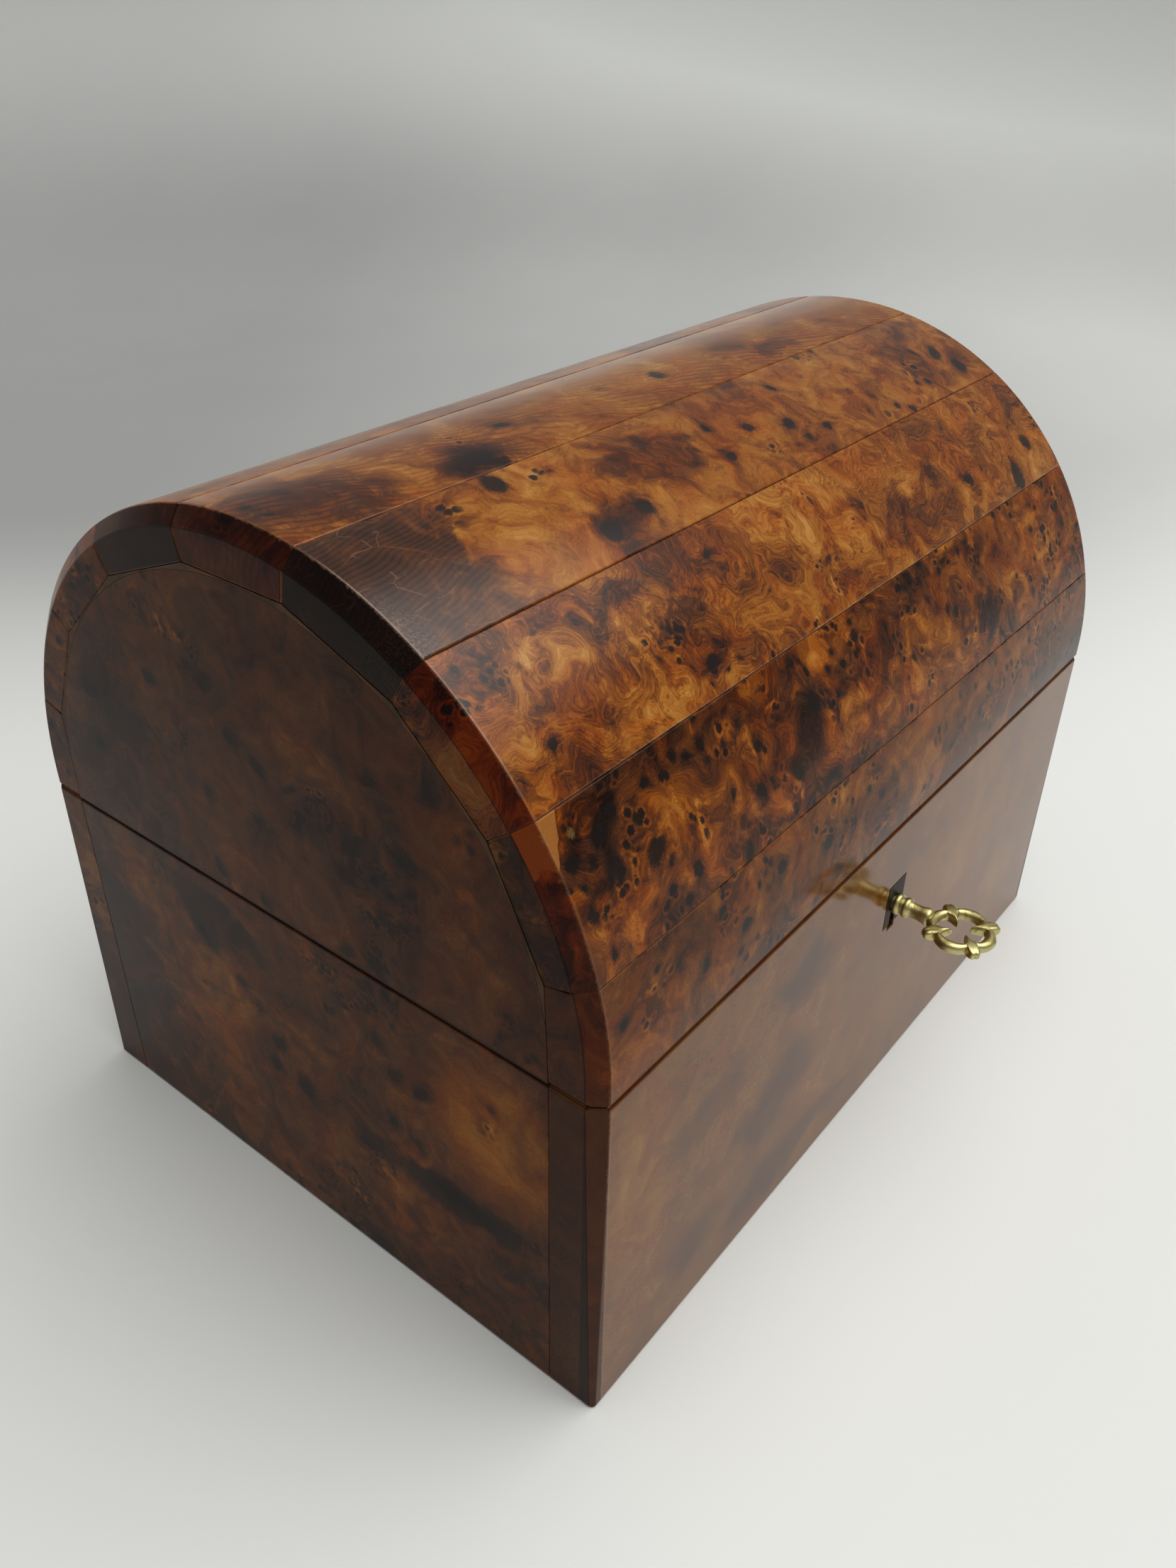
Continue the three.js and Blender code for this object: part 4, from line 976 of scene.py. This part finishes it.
stem = bmesh.new()
spun(stem, [out_of_box(*point) for point in KEY_OUTLINE], out_of_box(0, 0), (0, 1, 0), STEM_STEPS)
bmesh.ops.remove_doubles(stem, verts=stem.verts, dist=0.005 * MM)
key_stem = finished(stem, "key_stem", key_brass, smooth_angle=40.0)
print("stem faces", len(key_stem.data.polygons))

# %% [markdown]
# The bit is the flag at the inner end that turns the lock. It is a plain block with broken edges
# that starts inside the shank, so that the two are one piece of brass.

# %% Shape the bit
BIT_LENGTH = 6.5
BIT_WIDTH = 3.4
BIT_THICKNESS = 1.6
BIT_INSET = 0.4
BIT_ROOT = 0.9
BIT_BEVEL = 0.15

bit = bmesh.new()
bmesh.ops.create_cube(bit, size=1.0)
bit_reach = BIT_LENGTH - BIT_ROOT
bmesh.ops.scale(bit, vec=(bit_reach * MM, BIT_WIDTH * MM, BIT_THICKNESS * MM), verts=bit.verts)
bit_middle = out_of_box(-BIT_LENGTH + bit_reach / 2, SHANK_FOOT + BIT_INSET + BIT_WIDTH / 2)
bmesh.ops.translate(bit, vec=bit_middle, verts=bit.verts)
bmesh.ops.bevel(bit, geom=bit.edges[:], offset=BIT_BEVEL * MM, offset_type="OFFSET", segments=2,
                profile=0.5, affect="EDGES", material=-1)
key_bit = finished(bit, "key_bit", key_brass, smooth_angle=30.0)
print("bit faces", len(key_bit.data.polygons))

# %% [markdown]
# The bow is a ring of round bar in four lobes. Outside, a small spur stands between two lobes;
# inside, a cusp. It starts as a plain ring, a circle spun round, and each vertex is then moved out
# or in by the same rule of its angle as in the CAD, only with three times the steps.

# %% Bend the bow
BOW_CENTRE = 15.4
BOW_LOBE, BOW_VALLEY, BOW_SPUR = 7.5, 5.7, 8.15
BOW_INNER, BOW_CUSP = 4.85, 2.0
BOW_THICKNESS = 2.5
SPUR_ANGLE = 10.5
CUSP_ANGLE = 17.0
LOBE_FULLNESS = 0.7
# How square the bar becomes where it points at the middle
CUSP_BLUNTNESS = 0.35
BAR_STEPS = 20
BOW_STEPS = 288
# The plain ring's radius; its bar has a radius of 1
RING = 2.0


def bow_ring(angle):
    """Inner and outer radius of the bow at an angle round its middle, and how much of a bar
    that points at the middle there is: 1 between two lobes, 0 in a lobe"""
    lobe = abs(math.cos(2 * angle))
    from_diagonal = math.degrees(abs(abs(angle) % (math.pi / 2) - math.pi / 4))
    spur = math.sqrt(max(0.0, 1 - (from_diagonal / SPUR_ANGLE) ** 2))
    cusp = 0.5 + 0.5 * math.cos(math.pi * min(1.0, from_diagonal / CUSP_ANGLE))
    valley = BOW_VALLEY + (BOW_LOBE - BOW_VALLEY) * lobe ** LOBE_FULLNESS
    outer = valley + (BOW_SPUR - BOW_VALLEY) * spur
    inner = BOW_INNER + (BOW_CUSP - BOW_INNER) * cusp
    return inner, outer, cusp


bow = bmesh.new()
bmesh.ops.create_circle(bow, segments=BAR_STEPS, radius=1.0)
upright = Matrix.Rotation(math.pi / 2, 3, "X")
bmesh.ops.rotate(bow, cent=(0, 0, 0), matrix=upright, verts=bow.verts)
bmesh.ops.translate(bow, vec=(RING, 0, 0), verts=bow.verts)
bmesh.ops.spin(bow, geom=bow.verts[:] + bow.edges[:], cent=(0, 0, 0), axis=(0, 0, 1),
               angle=2 * math.pi, steps=BOW_STEPS, use_merge=True)
bmesh.ops.remove_doubles(bow, verts=bow.verts, dist=0.001)
for vert in bow.verts:
    angle = math.atan2(vert.co.y, vert.co.x)
    inner, outer, bar = bow_ring(angle)
    aside = math.hypot(vert.co.x, vert.co.y) - RING
    blunt = 1 - CUSP_BLUNTNESS * bar
    share = 0.5 + math.copysign(abs(aside) ** blunt, aside) / 2
    radius = inner + (outer - inner) * share
    rise = math.copysign(abs(vert.co.z) ** blunt, -vert.co.z)
    vert.co = out_of_box(radius * math.cos(angle), BOW_CENTRE + radius * math.sin(angle),
                         rise * BOW_THICKNESS / 2)
key_bow = finished(bow, "key_bow", key_brass, smooth_angle=70.0)

for piece in (key_stem, key_bit, key_bow):
    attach(piece, "key")
    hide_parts("key")
    print(piece.name, "faces", len(piece.data.polygons))

# %% [markdown]
# ## Floor and backdrop
# A pale round plate whose rim turns up into a wall stands in for the sheet of paper in the
# photograph. It goes right round, so the box is seen against the same pale paper from every side.

# %% Fold the paper
WALL_RADIUS = 1150.0
BEND = 350.0
WALL_TOP = 480.0
SWEEP_STEPS = 16
PAPER_STEPS = 96

profile = [Vector((0, 0, 0)), Vector((WALL_RADIUS - BEND, 0, 0))]
for step in range(1, SWEEP_STEPS + 1):
    turn = math.pi / 2 * step / SWEEP_STEPS
    out, up = BEND * math.sin(turn), BEND - BEND * math.cos(turn)
    profile.append(Vector((WALL_RADIUS - BEND + out, 0, up)))
profile.append(Vector((WALL_RADIUS, 0, WALL_TOP)))
paper = bmesh.new()
spun(paper, [point * MM for point in profile], (0, 0, 0), (0, 0, 1), PAPER_STEPS)
bmesh.ops.remove_doubles(paper, verts=paper.verts, dist=0.01 * MM)
print("paper faces", len(paper.faces))

# %% [markdown]
# The light in the photograph falls off unevenly: the paper is white in front, greyer behind the box
# and greyest there on the left. These shades are part of the paper's colour, each a soft step along
# one direction, because the room's light alone doesn't bring them out.

# %% Shade the paper
AWAY_FROM_CAMERA = (0.79, 0.61, 0.0)
TO_THE_RIGHT = (0.62, -0.78, 0.0)
PAPER_WHITE = (0.775, 0.785, 0.770)
# As dim as the room above it, so that the wall's upper edge hardly shows
EDGE_PALE = 0.62


def shaded_paper():
    sheet = Finish("paper_finish")
    at = sheet.place()
    behind = sheet.vector("DOT_PRODUCT", at, AWAY_FROM_CAMERA, output=1)
    rightwards = sheet.vector("DOT_PRODUCT", at, TO_THE_RIGHT, output=1)
    height = sheet.axes(at)[2]
    left_side = sheet.ease(rightwards, 120.0, -420.0)
    right_side = sheet.ease(rightwards, 60.0, 420.0)
    far_left = sheet.ease(rightwards, 60.0, -260.0)
    back_side = sheet.ease(behind - right_side * 170, 60.0, 330.0)
    pale = 1 - back_side * (0.46 + far_left * 0.14 - right_side * 0.22)
    pale = pale * (1 - left_side * (1 - back_side) * 0.22)
    top_pale = 0.72 + sheet.ease(rightwards, -520.0, 350.0) * 0.55
    pale = pale + (top_pale - pale) * sheet.ease(height, 20.0, 200.0)
    pale = pale + (EDGE_PALE - pale) * sheet.ease(height, 230.0, WALL_TOP)
    pulp = (sheet.noise(at, 90.0, 3.0) - 0.5) * 0.03
    colour = sheet.blend(pale + pulp, (0.0, 0.0, 0.0), PAPER_WHITE)
    return sheet.surface({"Roughness": 0.9}, Base_Color=colour)


backdrop = finished(paper, "paper_sweep", shaded_paper(), smooth_angle=60.0)
print("floor and wall to", WALL_RADIUS, "mm round the box")

# %% [markdown]
# ## Light
# There is no lamp: the whole room is the light, brightest high to the right of the camera, where
# the window was, and dim all round, so the shadows have no hard edge.

# %% Light the room
LIGHT_FROM = Vector((0.16, -0.26, 0.95)).normalized()
# Cosine of the angle from the window at which the room is dim, and at which it is brightest
DIM_AT, BRIGHT_AT = 0.70, 1.0
DIM_SIDE = (0.20, 0.204, 0.208)
BRIGHT_SIDE = (2.85, 2.83, 2.77)

room = Finish("pale_room", "worlds")
way = room.node("ShaderNodeTexCoord", {}, {}, "Generated")
towards = room.vector("DOT_PRODUCT", way, LIGHT_FROM, output=1)
glow = room.blend(room.ease(towards, DIM_AT, BRIGHT_AT), DIM_SIDE, BRIGHT_SIDE)
sky = room.node("ShaderNodeBackground", {}, {"Color": glow})
room.node("ShaderNodeOutputWorld", {}, {"Surface": sky})
bpy.context.scene.world = room.made
bpy.context.scene.view_settings.view_transform = "Standard"
bpy.context.scene.view_settings.look = "Medium High Contrast"
print("room", room.made.name, "brightest towards", [round(v, 2) for v in LIGHT_FROM])

# %% [markdown]
# ## Finishes for the nodes that stay
# The end panels, hinges, lock and screws keep their CAD meshes; only their material changes. A
# node's finish goes in its object's material slot, so its mesh isn't touched.

# %% Dress the CAD nodes
STEEL_PARTS = ("lock_bolt", "lock_case", "drill_pin", "bolt_stud")
FINISH_OF = {"bottom_board": plain_wood, "escutcheon": ebony, "key": key_brass,
             "bolt_spring": spring_steel, **burl_of, **dict.fromkeys(STEEL_PARTS, steel)}


def finish_of(node):
    """The node's own finish, or that of its kind; what is left is the brass of the lock"""
    if node in FINISH_OF:
        return FINISH_OF[node]
    if node.endswith("filler"):
        return filler
    if "screw" in node:
        return screw_brass
    if node.endswith("_pin"):
        return steel
    return hinge_brass if node.startswith("hinge") else lock_brass


for node, thing in frame["nodes"].items():
    for slot in thing.material_slots:
        slot.link = "OBJECT"
        slot.material = finish_of(node)
print("dressed", len(frame["nodes"]), "nodes")

# %% [markdown]
